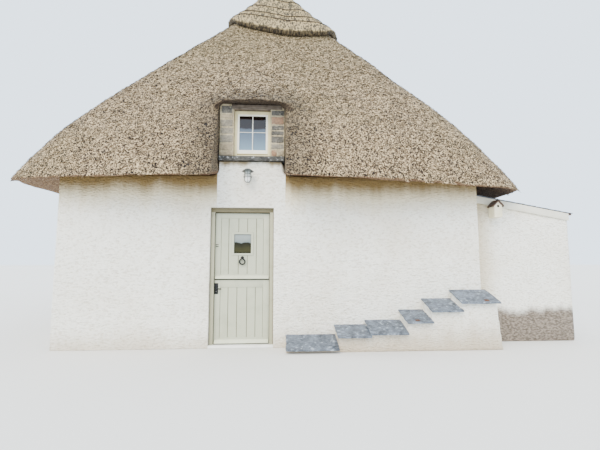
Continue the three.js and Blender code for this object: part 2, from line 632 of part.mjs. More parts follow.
function buildLantern() {
  const wall = frontFace - gap;
  const hoodY = wall - lantern.reach;
  const armZ = lantern.hoodTop - lantern.armDrop;
  const plate = rodAlongY(lantern.plateRadius, wall - lantern.plate, wall, lantern.x, armZ);
  const arm = rodAlongY(lantern.armRadius, hoodY, wall - over, lantern.x, armZ);
  const top = lantern.hoodTop - lantern.collarBottom;
  const rim = top - lantern.hoodHeight;
  const profile = [
    [0, 0],
    [lantern.collarRadius, 0],
    [lantern.collarRadius, rim],
    [lantern.hoodRadius, rim - lantern.hoodLip],
    [lantern.hoodRadius, rim],
    [lantern.collarRadius, top - lantern.hoodShoulder],
    [0, top],
  ];
  const hood = latheAlongZ(profile, lantern.x, hoodY, lantern.collarBottom);
  addPiece("lantern_body", joined(hood, arm, plate), paint.zinc);
  const glassTop = lantern.collarBottom - gap - lantern.glassBottom;
  const jar = [...lantern.jarFoot, [lantern.glassRadius, lantern.jarShoulder],
    [lantern.glassRadius, glassTop], [0, glassTop]];
  addPiece("lantern_glass", latheAlongZ(jar, lantern.x, hoodY, lantern.glassBottom), paint.glass);
}

const leanToTop = (x) => leanTo.topHeight - leanTo.pitch * (x - leanTo.topAt);

function buildLeanTo() {
  const left = block.halfWidth + gap;
  const { right, front, back, wall } = leanTo;
  const underside = (x) => leanToTop(x) - leanTo.roof - gap;
  const endWall = [[left, 0], [right, 0], [right, underside(right)], [left, underside(left)]];
  addPiece("lean_to_front_wall", prismAlongY(endWall, front, front + wall), paint.roughcast);
  addPiece("lean_to_back_wall", prismAlongY(endWall, back - wall, back), paint.roughcast);
  const inner = right - wall;
  const sideWall = [[inner, 0], [right, 0], [right, underside(right)], [inner, underside(inner)]];
  const side = prismAlongY(sideWall, front + wall + gap, back - wall - gap);
  addPiece("lean_to_side_wall", side, paint.roughcast);

  const eave = right + leanTo.eaveReach;
  const band = (x0, x1, from, to) => {
    const [z0, z1] = [leanToTop(x0), leanToTop(x1)];
    return [[x0, z0 - to], [x1, z1 - to], [x1, z1 - from], [x0, z0 - from]];
  };
  const boards = prismAlongY(band(left, right, leanTo.slates - over, leanTo.roof), front, back);
  const reach = leanTo.vergeReach;
  const slates = prismAlongY(band(left, eave, 0, leanTo.slates), front - reach, back + reach);
  addPiece("lean_to_roof", joined(boards, slates), paint.slate);
  const verge = band(left, right, leanTo.slates + gap, leanTo.boardDrop);
  addPiece("lean_to_verge_board_front", prismAlongY(verge, front - leanTo.board, front - gap), paint.white);
  addPiece("lean_to_verge_board_back", prismAlongY(verge, back + gap, back + leanTo.board), paint.white);
}

// The foot of the plinth's end wall stands out from its top.
function batterEnd(geometry, x) {
  const places = geometry.getAttribute("position");
  for (let i = 0; i < places.count; i++) {
    if (places.getX(i) > x - over && places.getZ(i) < over) places.setX(i, x + plinth.batter);
  }
}

// The rendered plinth climbs in steps towards the lean-to, and a riven slate sheds rain from each step.
function buildPlinth() {
  const wall = frontFace - gap;
  const blocks = [];
  steps.forEach((step, i) => {
    const last = i + 1 === steps.length;
    const end = last ? plinthEnd : steps[i + 1].x;
    const fall = (step.back - step.front) / plinth.slateReach;
    const topAt = (out) => step.back - fall * out;
    const under = plinth.slate + gap;
    const overlap = last ? 0 : over;
    const blockOfStep = prismAlongX([[wall - plinth.face, 0], [wall, 0], [wall, topAt(0) - under],
      [wall - plinth.face, topAt(plinth.face) - under]], step.x, end + overlap);
    if (last) batterEnd(blockOfStep, end);
    blocks.push(blockOfStep);
    const lap = last ? plinth.lap : -plinth.clearance;
    const edge = wall - plinth.slateReach;
    const slate = [[edge, step.front - plinth.slate], [wall, step.back - plinth.slate], [wall, step.back],
      [edge, step.front]];
    addPiece("plinth_slate_" + i, prismAlongX(slate, step.x - (i ? plinth.lap : 0), end + lap), paint.slate);
  });
  addPiece("stepped_plinth", joined(...blocks), paint.roughcast);
}

// The bird box stands off the wall on a packing piece, so its gable rises in front of the verge board.
function buildBirdBox() {
  const wall = leanTo.front - gap;
  const rear = wall - birdBox.packing;
  const front = rear - birdBox.depth;
  const half = birdBox.width / 2;
  const slope = (birdBox.apex - birdBox.eaves) / half;
  const upright = Math.hypot(1, slope); // how much taller a sloping board is than it is thick
  const gable = (inset) => {
    const apex = birdBox.apex - inset * upright;
    const [left, right] = [birdBox.x - half + inset, birdBox.x + half - inset];
    const eaves = apex - slope * (half - inset);
    const bottom = birdBox.bottom + inset;
    return [[left, bottom], [right, bottom], [right, eaves], [birdBox.x, apex], [left, eaves]];
  };
  const packing = box(birdBox.x - birdBox.packingHalfWidth, birdBox.x + birdBox.packingHalfWidth, rear - over,
    wall, birdBox.bottom + birdBox.board, birdBox.packingTop);
  const outside = joined(prismAlongY(gable(0), front, rear), packing);
  const inside = prismAlongY(gable(birdBox.board), front + birdBox.board, rear - birdBox.board);
  const hole = rodAlongY(birdBox.holeRadius, front - over, front + birdBox.board + over, birdBox.x,
    birdBox.holeZ);
  addPiece("bird_box", carved(outside, inside, hole), paint.cream);
  const reach = half + birdBox.roofReach;
  const peak = birdBox.apex + gap * upright;
  const low = peak - slope * reach;
  const thick = birdBox.roof * upright;
  const roof = [[birdBox.x - reach, low], [birdBox.x, peak], [birdBox.x + reach, low],
    [birdBox.x + reach, low + thick], [birdBox.x, peak + thick], [birdBox.x - reach, low + thick]];
  addPiece("bird_box_roof", prismAlongY(roof, front - birdBox.roofReach, rear), paint.brownRoof);
}

buildWalls();
buildFloors();
buildThatch();
addUpperWindow("front", 0);
addUpperWindow("back", Math.PI);
addSideWindow();
buildDoor();
buildLantern();
buildLeanTo();
buildPlinth();
buildBirdBox();

export default cottage;
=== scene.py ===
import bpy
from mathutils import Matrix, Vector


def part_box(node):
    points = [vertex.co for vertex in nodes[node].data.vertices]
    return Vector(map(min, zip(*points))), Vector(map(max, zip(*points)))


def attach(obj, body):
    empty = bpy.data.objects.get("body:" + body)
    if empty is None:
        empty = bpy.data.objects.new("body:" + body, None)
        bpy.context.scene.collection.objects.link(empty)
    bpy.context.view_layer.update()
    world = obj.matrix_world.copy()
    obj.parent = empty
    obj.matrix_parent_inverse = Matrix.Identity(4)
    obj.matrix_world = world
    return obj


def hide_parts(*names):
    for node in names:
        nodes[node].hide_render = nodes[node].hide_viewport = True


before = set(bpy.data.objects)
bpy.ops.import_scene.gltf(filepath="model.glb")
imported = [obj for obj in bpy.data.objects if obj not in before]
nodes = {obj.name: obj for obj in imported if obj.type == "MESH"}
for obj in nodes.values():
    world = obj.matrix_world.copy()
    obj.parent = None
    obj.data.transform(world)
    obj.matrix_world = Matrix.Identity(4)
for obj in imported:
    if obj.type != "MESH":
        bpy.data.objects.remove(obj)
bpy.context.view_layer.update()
import math
import random

import bpy
from mathutils import Matrix, Vector

# Thatched cottage: metres, +X right along the front wall, +Y back into the cottage, +Z up
scene = bpy.context.scene
dice = random.Random(7)


# Working by hand: selecting, adding and finishing

def deselectAll():
    if bpy.context.object and bpy.context.object.mode != "OBJECT":
        bpy.ops.object.mode_set(mode="OBJECT")
    bpy.ops.object.select_all(action="DESELECT")


def activate(piece, *others):
    deselectAll()
    for each in (piece, *others):
        each.select_set(True)
    bpy.context.view_layer.objects.active = piece


def settle(piece):  # the place goes into the mesh
    activate(piece)
    bpy.ops.object.transform_apply(location=True, rotation=True, scale=True)
    return piece


def named(name):
    piece = bpy.context.object
    piece.name = name
    piece.data.name = name
    return piece


def addBox(name, low, high):
    middle = [(a + b) / 2 for a, b in zip(low, high)]
    deselectAll()
    bpy.ops.mesh.primitive_cube_add(size=1, location=middle)
    piece = named(name)
    piece.scale = [b - a for a, b in zip(low, high)]
    return settle(piece)


def addRod(name, radius, start, end, sides=24, endRadius=None):
    start, end = Vector(start), Vector(end)
    along = end - start
    deselectAll()
    bpy.ops.mesh.primitive_cone_add(vertices=sides, radius1=radius, depth=along.length,
        radius2=radius if endRadius is None else endRadius, location=(start + end) / 2)
    piece = named(name)
    piece.rotation_euler = along.to_track_quat("Z", "Y").to_euler()
    return settle(piece)


def editFaces(piece, test):  # into edit mode with the faces that pass chosen
    activate(piece)
    bpy.ops.object.mode_set(mode="EDIT")
    bpy.ops.mesh.select_mode(type="FACE")
    bpy.ops.mesh.select_all(action="DESELECT")
    bpy.ops.object.mode_set(mode="OBJECT")
    for face in piece.data.polygons:
        face.select = bool(test(face.center, face.normal))
    bpy.ops.object.mode_set(mode="EDIT")


def editEdges(piece, test):  # the test sees both ends of an edge
    activate(piece)
    bpy.ops.object.mode_set(mode="EDIT")
    bpy.ops.mesh.select_mode(type="EDGE")
    bpy.ops.mesh.select_all(action="DESELECT")
    bpy.ops.object.mode_set(mode="OBJECT")
    points = piece.data.vertices
    for edge in piece.data.edges:
        edge.select = bool(test(points[edge.vertices[0]].co, points[edge.vertices[1]].co))
    bpy.ops.object.mode_set(mode="EDIT")


def doneEditing():
    bpy.ops.object.mode_set(mode="OBJECT")


def applied(piece, kind, **settings):
    activate(piece)
    modifier = piece.modifiers.new(kind.title(), kind)
    for key, value in settings.items():
        setattr(modifier, key, value)
    bpy.ops.object.modifier_apply(modifier=modifier.name)
    return piece


def eased(piece, width, segments=2, angle=30):  # small rounded arrises
    return applied(piece, "BEVEL", width=width, segments=segments, limit_method="ANGLE",
        angle_limit=math.radians(angle), use_clamp_overlap=True)


def roughened(piece, size, depth, middle=0.5, direction="NORMAL"):  # soft lumps of that size
    texture = bpy.data.textures.new(piece.name + "Relief", "CLOUDS")
    texture.noise_scale = size
    return applied(piece, "DISPLACE", texture=texture, texture_coords="LOCAL", strength=depth,
        mid_level=middle, direction=direction)


def subdivided(piece, cuts):
    activate(piece)
    bpy.ops.object.mode_set(mode="EDIT")
    bpy.ops.mesh.select_all(action="SELECT")
    bpy.ops.mesh.subdivide(number_cuts=cuts)
    doneEditing()
    return piece


def paintFaces(piece, materials, test):  # the first material all over, the second on the faces that pass
    piece.data.materials.clear()
    for material in materials:
        piece.data.materials.append(material)
    editFaces(piece, test)
    piece.active_material_index = 1
    bpy.ops.object.material_slot_assign()
    doneEditing()
    return piece


def joinedUp(name, pieces):
    activate(pieces[0], *pieces[1:])
    if len(pieces) > 1:
        bpy.ops.object.join()
    return named(name)


def cutBy(piece, cutter):
    applied(piece, "BOOLEAN", operation="DIFFERENCE", object=cutter, solver="EXACT")
    bpy.data.objects.remove(cutter)
    return piece


def levelled(piece):  # trimmed flat where it stands on the ground
    activate(piece)
    bpy.ops.object.mode_set(mode="EDIT")
    bpy.ops.mesh.select_all(action="SELECT")
    bpy.ops.mesh.bisect(plane_co=(0, 0, 0.0005), plane_no=(0, 0, 1), clear_inner=True, use_fill=True)
    doneEditing()
    return piece


def copied(piece, turn=0, name=None):  # turn is about the upright line through the origin
    twin = piece.copy()
    twin.data = piece.data.copy()
    scene.collection.objects.link(twin)
    twin.name = name or piece.name
    twin.data.transform(Matrix.Rotation(turn, 4, "Z"))
    return twin


def copyOfNodes(name, *nodeNames):  # welded copies of CAD nodes, in one mesh
    copies = []
    for nodeName in nodeNames:
        piece = bpy.data.objects.new(name, nodes[nodeName].data.copy())
        scene.collection.objects.link(piece)
        copies.append(piece)
    piece = joinedUp(name, copies)
    bpy.ops.object.mode_set(mode="EDIT")
    bpy.ops.mesh.select_all(action="SELECT")
    bpy.ops.mesh.remove_doubles(threshold=0.00005)
    bpy.ops.mesh.tris_convert_to_quads()
    bpy.ops.mesh.customdata_custom_splitnormals_clear()
    doneEditing()
    return piece


def finished(piece, material, body="building", stands=(), smooth=35):
    if material:  # with none given, the piece keeps the ones it has
        piece.data.materials.clear()
        piece.data.materials.append(material)
    activate(piece)
    bpy.ops.object.shade_smooth_by_angle(angle=math.radians(smooth))
    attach(piece, body)
    if stands:
        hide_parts(*stands)
    return piece


# Materials

def linear(code):
    parts = [int(code[i:i + 2], 16) / 255 for i in (1, 3, 5)]
    return [p / 12.92 if p <= 0.04045 else ((p + 0.055) / 1.055) ** 2.4 for p in parts] + [1]


def newMaterial(name, roughness, ior=1.5, metallic=0.0, colour=None):
    material = bpy.data.materials.new(name)
    material.use_nodes = True
    shader = material.node_tree.nodes["Principled BSDF"]
    shader.inputs["Roughness"].default_value = roughness
    shader.inputs["IOR"].default_value = ior
    shader.inputs["Metallic"].default_value = metallic
    if colour:
        shader.inputs["Base Color"].default_value = linear(colour)
    return material, material.node_tree, shader


def addNode(tree, kind, links=None, stops=None, **settings):
    node = tree.nodes.new(kind)
    for key, value in settings.items():
        setattr(node, key, value)
    for key, value in (links or {}).items():
        if isinstance(value, bpy.types.NodeSocket):
            tree.links.new(value, node.inputs[key])
        else:
            node.inputs[key].default_value = value
    if stops:
        ramp = node.color_ramp
        while len(ramp.elements) < len(stops):
            ramp.elements.new(0.5)
        for element, (position, colour) in zip(ramp.elements, stops):
            element.position = position
            element.color = linear(colour) if isinstance(colour, str) else (colour, colour, colour, 1)
    return node


def placeOf(tree, stretch=(1, 1, 1)):
    place = addNode(tree, "ShaderNodeTexCoord").outputs["Object"]
    return addNode(tree, "ShaderNodeMapping", {"Vector": place, "Scale": stretch}).outputs[0]


# Lime-washed roughcast: thrown lumps of 32 mm and grit of 12 mm under many coats of wash. It is matt, with
# painted shade in the hollows, rain stains and painted shade under the eaves, a painted shadow under the
# sills, painted shade in the lean-to's corner, and bare pebbles at the lean-to's foot
limewash = {
    # The hollow colour is painted shade, sill a painted shadow, the corner colour painted shade, and warm and
    # eave rain stain with painted shade under the eaves
    "wash": "#fffdf3", "shade": "#f5efe0", "hollow": "#d3cab6", "warm": "#e6d3a4", "sill": "#8d764c",
    "eave": "#79602f", "foot": "#b39f80", "cornerShade": "#bfa878", "bareLight": "#94887a",
    "bareDark": "#5f554a", "lump": 0.032, "flat": (0.75, 0.75, 1.5), "relief": 0.04, "grit": 0.012,
    "patch": 0.9, "run": (5, 5, 0.5), "ragged": 0.28,
    # heights where each stain and painted shade starts and ends: its ragged edge lies 0.14 m lower on average
    "eaveShadeFrom": 2.34, "eaveShadeTo": 2.64, "warmFrom": 2.05, "warmTo": 2.5, "sillShadeFrom": 2.83, "sillShadeTo": 2.93,
    "footTop": 0.5, "proudTop": 0.75, "bareFrom": 0.56, "bareTo": 0.74,
    "bayHalf": 0.52, "bayMiddle": 0.355, "proudY": -4.53, "sideFrom": 3.27, "wallY": -4.45,
}


def makeLimewash(name, values):
    material, tree, shader = newMaterial(name, 0.92)
    place = placeOf(tree)
    lumps = addNode(tree, "ShaderNodeTexNoise",
        {"Vector": placeOf(tree, values["flat"]), "Scale": 1 / values["lump"], "Detail": 3.0}).outputs["Fac"]
    grit = addNode(tree, "ShaderNodeTexNoise", {"Vector": place, "Scale": 1 / values["grit"], "Detail": 3.0})
    patches = addNode(tree, "ShaderNodeTexNoise",
        {"Vector": place, "Scale": values["patch"], "Detail": 4.0}).outputs["Fac"]
    streaks = addNode(tree, "ShaderNodeTexNoise",
        {"Vector": placeOf(tree, values["run"]), "Scale": 1.0, "Detail": 3.0}).outputs["Fac"]
    where = addNode(tree, "ShaderNodeSeparateXYZ", {"Vector": place})
    ragged = addNode(tree, "ShaderNodeMath", {0: streaks, 1: values["ragged"], 2: where.outputs["Z"]},
        operation="MULTIPLY_ADD").outputs[0]  # height, with an edge that runs down in streaks
    masks = {}
    for key, value, low, high, most in (
            ("shade", patches, 0.4, 0.7, 1),
            # hollow: painted shade in the hollows between the lumps
            ("hollow", lumps, 0.5, 0.32, 0.6),
            # warm and eave: rain stain under the eaves, darkened with painted shade of the overhang
            ("warm", ragged, values["warmFrom"], values["warmTo"], 0.75),
            # sill: a painted shadow on the wall under the sills
            ("sill", ragged, values["sillShadeFrom"], values["sillShadeTo"], 0.9),
            ("eave", ragged, values["eaveShadeFrom"], values["eaveShadeTo"], 0.95),
            ("foot", ragged, values["footTop"], 0.1, 0.5),
            ("proudFoot", ragged, values["proudTop"], 0.2, 0.5),
            # corner: painted shade where the lean-to's wall meets the block
            ("corner", where.outputs["X"], 3.7, 3.25, 0.6),
            ("pebbles", lumps, 0.34, 0.66, 1),
            ("bare", ragged, values["bareTo"], values["bareFrom"], 1)):
        masks[key] = addNode(tree, "ShaderNodeMapRange", {"Value": value, "From Min": low, "From Max": high,
            "To Max": float(most)}, interpolation_type="SMOOTHSTEP").outputs[0]
    side = addNode(tree, "ShaderNodeMath", {0: where.outputs["Y"]}, operation="SIGN").outputs[0]
    aside = addNode(tree, "ShaderNodeMath", {0: side, 1: -values["bayMiddle"], 2: where.outputs["X"]},
        operation="MULTIPLY_ADD").outputs[0]
    aside = addNode(tree, "ShaderNodeMath", {0: aside}, operation="ABSOLUTE").outputs[0]
    limits = {}
    for key, value, edge, operation in (
            ("outsideBay", aside, values["bayHalf"], "GREATER_THAN"),  # where the eaves hang over the wall
            ("insideBay", aside, values["bayHalf"], "LESS_THAN"),
            ("proud", where.outputs["Y"], values["proudY"], "LESS_THAN"),  # the stepped plinth
            ("beyond", where.outputs["X"], values["sideFrom"], "GREATER_THAN"),  # the lean-to
            ("behind", where.outputs["Y"], values["wallY"], "GREATER_THAN")):
        limits[key] = addNode(tree, "ShaderNodeMath", {0: value, 1: edge}, operation=operation).outputs[0]
    for key, limit in (("eave", "outsideBay"), ("warm", "outsideBay"), ("sill", "insideBay"),
            ("proudFoot", "proud"), ("corner", "beyond"), ("corner", "behind"), ("bare", "beyond"),
            ("bare", "behind")):
        masks[key] = addNode(tree, "ShaderNodeMath", {0: masks[key], 1: limits[limit]},
            operation="MULTIPLY").outputs[0]
    pebbles = addNode(tree, "ShaderNodeMix", {"Factor": masks["pebbles"], "A": linear(values["bareDark"]),
        "B": linear(values["bareLight"])}, data_type="RGBA").outputs["Result"]
    coat = linear(values["wash"])
    for key, colour in (("shade", linear(values["shade"])), ("hollow", linear(values["hollow"])),
            ("warm", linear(values["warm"])), ("sill", linear(values["sill"])),
            ("eave", linear(values["eave"])), ("foot", linear(values["foot"])),
            ("proudFoot", linear(values["foot"])), ("corner", linear(values["cornerShade"])),
            ("bare", pebbles)):
        coat = addNode(tree, "ShaderNodeMix", {"Factor": masks[key], "A": coat, "B": colour},
            data_type="RGBA").outputs["Result"]
    tree.links.new(coat, shader.inputs["Base Color"])
    soft = addNode(tree, "ShaderNodeBump", {"Height": lumps, "Strength": 1.0, "Distance": values["relief"]})
    fine = addNode(tree, "ShaderNodeBump", {"Height": grit.outputs["Fac"], "Strength": 0.6, "Distance": 0.01,
        "Normal": soft.outputs[0]})
    tree.links.new(fine.outputs[0], shader.inputs["Normal"])
    return material


# Water reed, laid in bunches and cut at the eave: strands of 7 mm in bunches of 12 mm that lie down the slope,
# matt straw over dark gaps of painted shade, greener high up, darker round the window bays, and brown where it
# is cut, with painted shade on faces that look down, darkest under the lips over the windows
reed = {
    "gap": "#150e08", "old": "#4e3c2b", "grey": "#89745a", "straw": "#d9be92", "moss": "#776c41",
    "butt": "#66482f", "lipButtInShade": "#3a2b21", "strand": 0.007, "bunch": 0.012, "slope": 0.8,
    "mossFrom": 4.0, "mossTo": 6.2, "bayDark": 0.55,
}
# Wheat straw of the ridge, newer: a duller yellow with less contrast, in bunches of 20 mm, dark where cut and
# in painted shade on faces that look down
strawRidge = {
    "gap": "#2c2216", "old": "#66563b", "grey": "#927e59", "straw": "#c0a97a", "moss": "#7e744c",
    "butt": "#2a2118", "lipButtInShade": "#2a2118", "strand": 0.007, "bunch": 0.02, "slope": 0.3,
    "mossFrom": 5.0, "mossTo": 9.0, "bayDark": 0.0,
}
thatchPlaces = {  # where the end slopes begin, where it is darker beside and over the windows, and the heights over which its underside darkens to the painted shade under the lips
    "hipRun": 0.83, "hipFrom": 1.85, "bayMiddle": 0.355, "bayDarkAside": (1.2, 0.55), "bayDarkTop": (4.2, 3.7),
    "bayDarkOut": (4.2, 4.3), "lip": (2.8, 3.3),
}


def makeThatch(name, values):
    at = thatchPlaces
    material, tree, shader = newMaterial(name, 0.95)
    place = placeOf(tree)
    where = addNode(tree, "ShaderNodeSeparateXYZ", {"Vector": place})
    across, deep, height = where.outputs["X"], where.outputs["Y"], where.outputs["Z"]
    outX, outY = [addNode(tree, "ShaderNodeMath", {0: each}, operation="ABSOLUTE").outputs[0]
        for each in (across, deep)]
    hip = addNode(tree, "ShaderNodeMath", {0: outX, 1: at["hipRun"], 2: at["hipFrom"]},
        operation="MULTIPLY_ADD").outputs[0]
    ending = addNode(tree, "ShaderNodeMath", {0: outY, 1: hip}, operation="GREATER_THAN").outputs[0]
    along = addNode(tree, "ShaderNodeMix", {"Factor": ending, "A": deep, "B": across}).outputs[0]
    inward = addNode(tree, "ShaderNodeMix", {"Factor": ending, "A": across, "B": deep}).outputs[0]
    turned = addNode(tree, "ShaderNodeCombineXYZ", {"X": along, "Y": inward, "Z": height}).outputs[0]
    drawn = addNode(tree, "ShaderNodeMapping",
        {"Vector": turned, "Scale": (1, values["slope"], values["slope"])}).outputs[0]
    strands = addNode(tree, "ShaderNodeTexVoronoi", {"Vector": drawn, "Scale": 1 / values["strand"]})
    bunches = addNode(tree, "ShaderNodeTexVoronoi", {"Vector": drawn, "Scale": 1 / values["bunch"]})
    gaps = addNode(tree, "ShaderNodeTexVoronoi", {"Vector": drawn, "Scale": 1 / values["strand"]},
        feature="DISTANCE_TO_EDGE")
    clumps = addNode(tree, "ShaderNodeTexNoise",
        {"Vector": place, "Scale": 14.0, "Detail": 4.0}).outputs["Fac"]
    weather = addNode(tree, "ShaderNodeTexNoise",
        {"Vector": place, "Scale": 0.7, "Detail": 5.0}).outputs["Fac"]
    fine, broad = [addNode(tree, "ShaderNodeSeparateColor", {"Color": each.outputs["Color"]}).outputs[0]
        for each in (strands, bunches)]
    paired = addNode(tree, "ShaderNodeMix", {"Factor": 0.8, "A": fine, "B": broad}).outputs[0]
    tone = addNode(tree, "ShaderNodeMix", {"Factor": 0.08, "A": paired, "B": clumps}).outputs[0]
    colours = addNode(tree, "ShaderNodeValToRGB", {"Fac": tone}, stops=[(0.34, values["gap"]),
        (0.42, values["old"]), (0.52, values["grey"]), (0.66, values["straw"])])
    rising = addNode(tree, "ShaderNodeMapRange", {"Value": height, "From Min": values["mossFrom"],
        "From Max": values["mossTo"], "To Max": 0.35}).outputs[0]
    patchy = addNode(tree, "ShaderNodeMapRange", {"Value": weather, "From Min": 0.5, "From Max": 0.75,
        "To Max": 0.25}).outputs[0]
    green = addNode(tree, "ShaderNodeMath", {0: rising, 1: patchy}, operation="ADD").outputs[0]
    mossy = addNode(tree, "ShaderNodeMix", {"Factor": green, "A": colours.outputs[0],
        "B": linear(values["moss"])}, data_type="RGBA").outputs["Result"]
    side = addNode(tree, "ShaderNodeMath", {0: deep}, operation="SIGN").outputs[0]
    aside = addNode(tree, "ShaderNodeMath", {0: side, 1: -at["bayMiddle"], 2: across},
        operation="MULTIPLY_ADD").outputs[0]
    aside = addNode(tree, "ShaderNodeMath", {0: aside}, operation="ABSOLUTE").outputs[0]
    # darker towards the gap colour near each window bay: within 1.2 m aside, below 4.2 m, and out at the front
    # and back
    bayDark = values["bayDark"]
    for value, (low, high) in ((aside, at["bayDarkAside"]), (height, at["bayDarkTop"]), (outY, at["bayDarkOut"])):
        near = addNode(tree, "ShaderNodeMapRange", {"Value": value, "From Min": low, "From Max": high},
            interpolation_type="SMOOTHSTEP").outputs[0]
        bayDark = addNode(tree, "ShaderNodeMath", {0: bayDark, 1: near}, operation="MULTIPLY").outputs[0]
    bayDarkened = addNode(tree, "ShaderNodeMix", {"Factor": bayDark, "A": mossy, "B": linear(values["gap"])},
        data_type="RGBA").outputs["Result"]
    # darker towards each strand's edge: painted shade in the gaps between strands
    strandShade = addNode(tree, "ShaderNodeMapRange", {"Value": gaps.outputs["Distance"], "From Max": 0.2,
        "To Min": 0.5}).outputs[0]
    strandShaded = addNode(tree, "ShaderNodeMix", {"Factor": 1.0, "A": bayDarkened, "B": strandShade},
        data_type="RGBA", blend_type="MULTIPLY").outputs["Result"]
    # Faces that look down take the butt colour, for cut ends and painted shade, darker still under the lips
    # over the windows
    facing = addNode(tree, "ShaderNodeSeparateXYZ",
        {"Vector": addNode(tree, "ShaderNodeNewGeometry").outputs["Normal"]})
    under = addNode(tree, "ShaderNodeMapRange", {"Value": facing.outputs["Z"], "From Min": 0.02,
        "From Max": -0.4, "To Max": 0.7}).outputs[0]
    above = addNode(tree, "ShaderNodeMapRange", {"Value": height, "From Min": at["lip"][0],
        "From Max": at["lip"][1]}).outputs[0]
    butts = addNode(tree, "ShaderNodeMix", {"Factor": above, "A": linear(values["butt"]),
        "B": linear(values["lipButtInShade"])}, data_type="RGBA").outputs["Result"]
    cut = addNode(tree, "ShaderNodeMix", {"Factor": under, "A": strandShaded, "B": butts}, data_type="RGBA")
    tree.links.new(cut.outputs["Result"], shader.inputs["Base Color"])
    rough = addNode(tree, "ShaderNodeBump", {"Height": clumps, "Strength": 0.4, "Distance": 0.015})
    tips = addNode(tree, "ShaderNodeBump", {"Height": tone, "Strength": 0.9, "Distance": 0.015,
        "Normal": rough.outputs[0]})
    tree.links.new(tips.outputs[0], shader.inputs["Normal"])
    return material


# Stone, slate and timber share one recipe: a broad tone, a finer grain along one way, and relief from it
def makeGrained(name, light, dark, size, stretch=(1, 1, 1), roughness=0.8, relief=0.004, speck=None,
        contrast=0.25, specks=0.62):
    material, tree, shader = newMaterial(name, roughness)
    grain = addNode(tree, "ShaderNodeTexNoise", {"Vector": placeOf(tree, stretch), "Scale": 1 / size,
        "Detail": 6.0, "Roughness": 0.6}).outputs["Fac"]
    broad = addNode(tree, "ShaderNodeTexNoise", {"Vector": placeOf(tree), "Scale": 0.25 / size,
        "Detail": 3.0}).outputs["Fac"]
    both = addNode(tree, "ShaderNodeMix", {"Factor": 0.4, "A": grain, "B": broad}).outputs[0]
    result = addNode(tree, "ShaderNodeValToRGB", {"Fac": both},
        stops=[(0.5 - contrast / 2, dark), (0.5 + contrast / 2, light)]).outputs[0]
    if speck:
        spots = addNode(tree, "ShaderNodeTexNoise", {"Vector": placeOf(tree), "Scale": 0.5 / size,
            "Detail": 2.0}).outputs["Fac"]
        mask = addNode(tree, "ShaderNodeMapRange", {"Value": spots, "From Min": specks,
            "From Max": specks + 0.08}).outputs[0]
        result = addNode(tree, "ShaderNodeMix", {"Factor": mask, "A": result, "B": linear(speck)},
            data_type="RGBA").outputs["Result"]
    tree.links.new(result, shader.inputs["Base Color"])
    bump = addNode(tree, "ShaderNodeBump", {"Height": grain, "Strength": 0.8, "Distance": relief})
    tree.links.new(bump.outputs[0], shader.inputs["Normal"])
    return material


# Brushed oil paint: eggshell sheen, grime in the low spots, and brush lines 11 mm apart, coarser than real
def makePaint(name, colour, grime, roughness=0.45, brush=(90, 90, 3)):
    material, tree, shader = newMaterial(name, roughness)
    lines = addNode(tree, "ShaderNodeTexNoise", {"Vector": placeOf(tree, brush), "Scale": 1.0, "Detail": 3.0})
    wear = addNode(tree, "ShaderNodeTexNoise", {"Vector": placeOf(tree), "Scale": 6.0, "Detail": 5.0})
    amount = addNode(tree, "ShaderNodeMapRange", {"Value": wear.outputs["Fac"], "From Min": 0.5,
        "From Max": 0.85, "To Max": 0.5})
    coat = addNode(tree, "ShaderNodeMix", {"Factor": amount.outputs[0], "A": linear(colour),
        "B": linear(grime)}, data_type="RGBA")
    tree.links.new(coat.outputs["Result"], shader.inputs["Base Color"])
    bump = addNode(tree, "ShaderNodeBump",
        {"Height": lines.outputs["Fac"], "Strength": 0.3, "Distance": 0.001})
    tree.links.new(bump.outputs[0], shader.inputs["Normal"])
    return material


# Old drawn glass, a little wavy, with a painted reflection: dark and bright bands lie across it by height
def makeGlass(name, foot, height, reflectionBands, waviness=0.08, roughness=0.03, shine=0.5):
    material, tree, shader = newMaterial(name, roughness, ior=1.52)
    shader.inputs["Specular IOR Level"].default_value = shine
    waves = addNode(tree, "ShaderNodeTexNoise", {"Vector": placeOf(tree), "Scale": 9.0, "Detail": 3.0})
    where = addNode(tree, "ShaderNodeSeparateXYZ", {"Vector": placeOf(tree)})
    share = addNode(tree, "ShaderNodeMapRange", {"Value": where.outputs["Z"], "From Min": foot,
        "From Max": foot + height})
    stray = addNode(tree, "ShaderNodeMath", {0: waves.outputs["Fac"], 1: waviness, 2: share.outputs[0]},
        operation="MULTIPLY_ADD")
    tone = addNode(tree, "ShaderNodeValToRGB", {"Fac": stray.outputs[0]}, stops=reflectionBands)
    tree.links.new(tone.outputs[0], shader.inputs["Base Color"])
    bump = addNode(tree, "ShaderNodeBump",
        {"Height": waves.outputs["Fac"], "Strength": 0.1, "Distance": 0.002})
    tree.links.new(bump.outputs[0], shader.inputs["Normal"])
    return material


# Iron and zinc: two tones in a spangle of 12 mm, with a faint relief from it
def makeMetal(name, light, dark, roughness, metallic, size=0.012):
    material, tree, shader = newMaterial(name, roughness, metallic=metallic)
    spangle = addNode(tree, "ShaderNodeTexNoise",
        {"Vector": placeOf(tree), "Scale": 1 / size, "Detail": 3.0}).outputs["Fac"]
    tone = addNode(tree, "ShaderNodeValToRGB", {"Fac": spangle}, stops=[(0.3, dark), (0.7, light)])
    tree.links.new(tone.outputs[0], shader.inputs["Base Color"])
    bump = addNode(tree, "ShaderNodeBump", {"Height": spangle, "Strength": 0.3, "Distance": 0.001})
    tree.links.new(bump.outputs[0], shader.inputs["Normal"])
    return material


limewashedRoughcast = makeLimewash("limewashedRoughcast", limewash)
waterReed = makeThatch("waterReed", reed)
ridgeStraw = makeThatch("ridgeStraw", strawRidge)

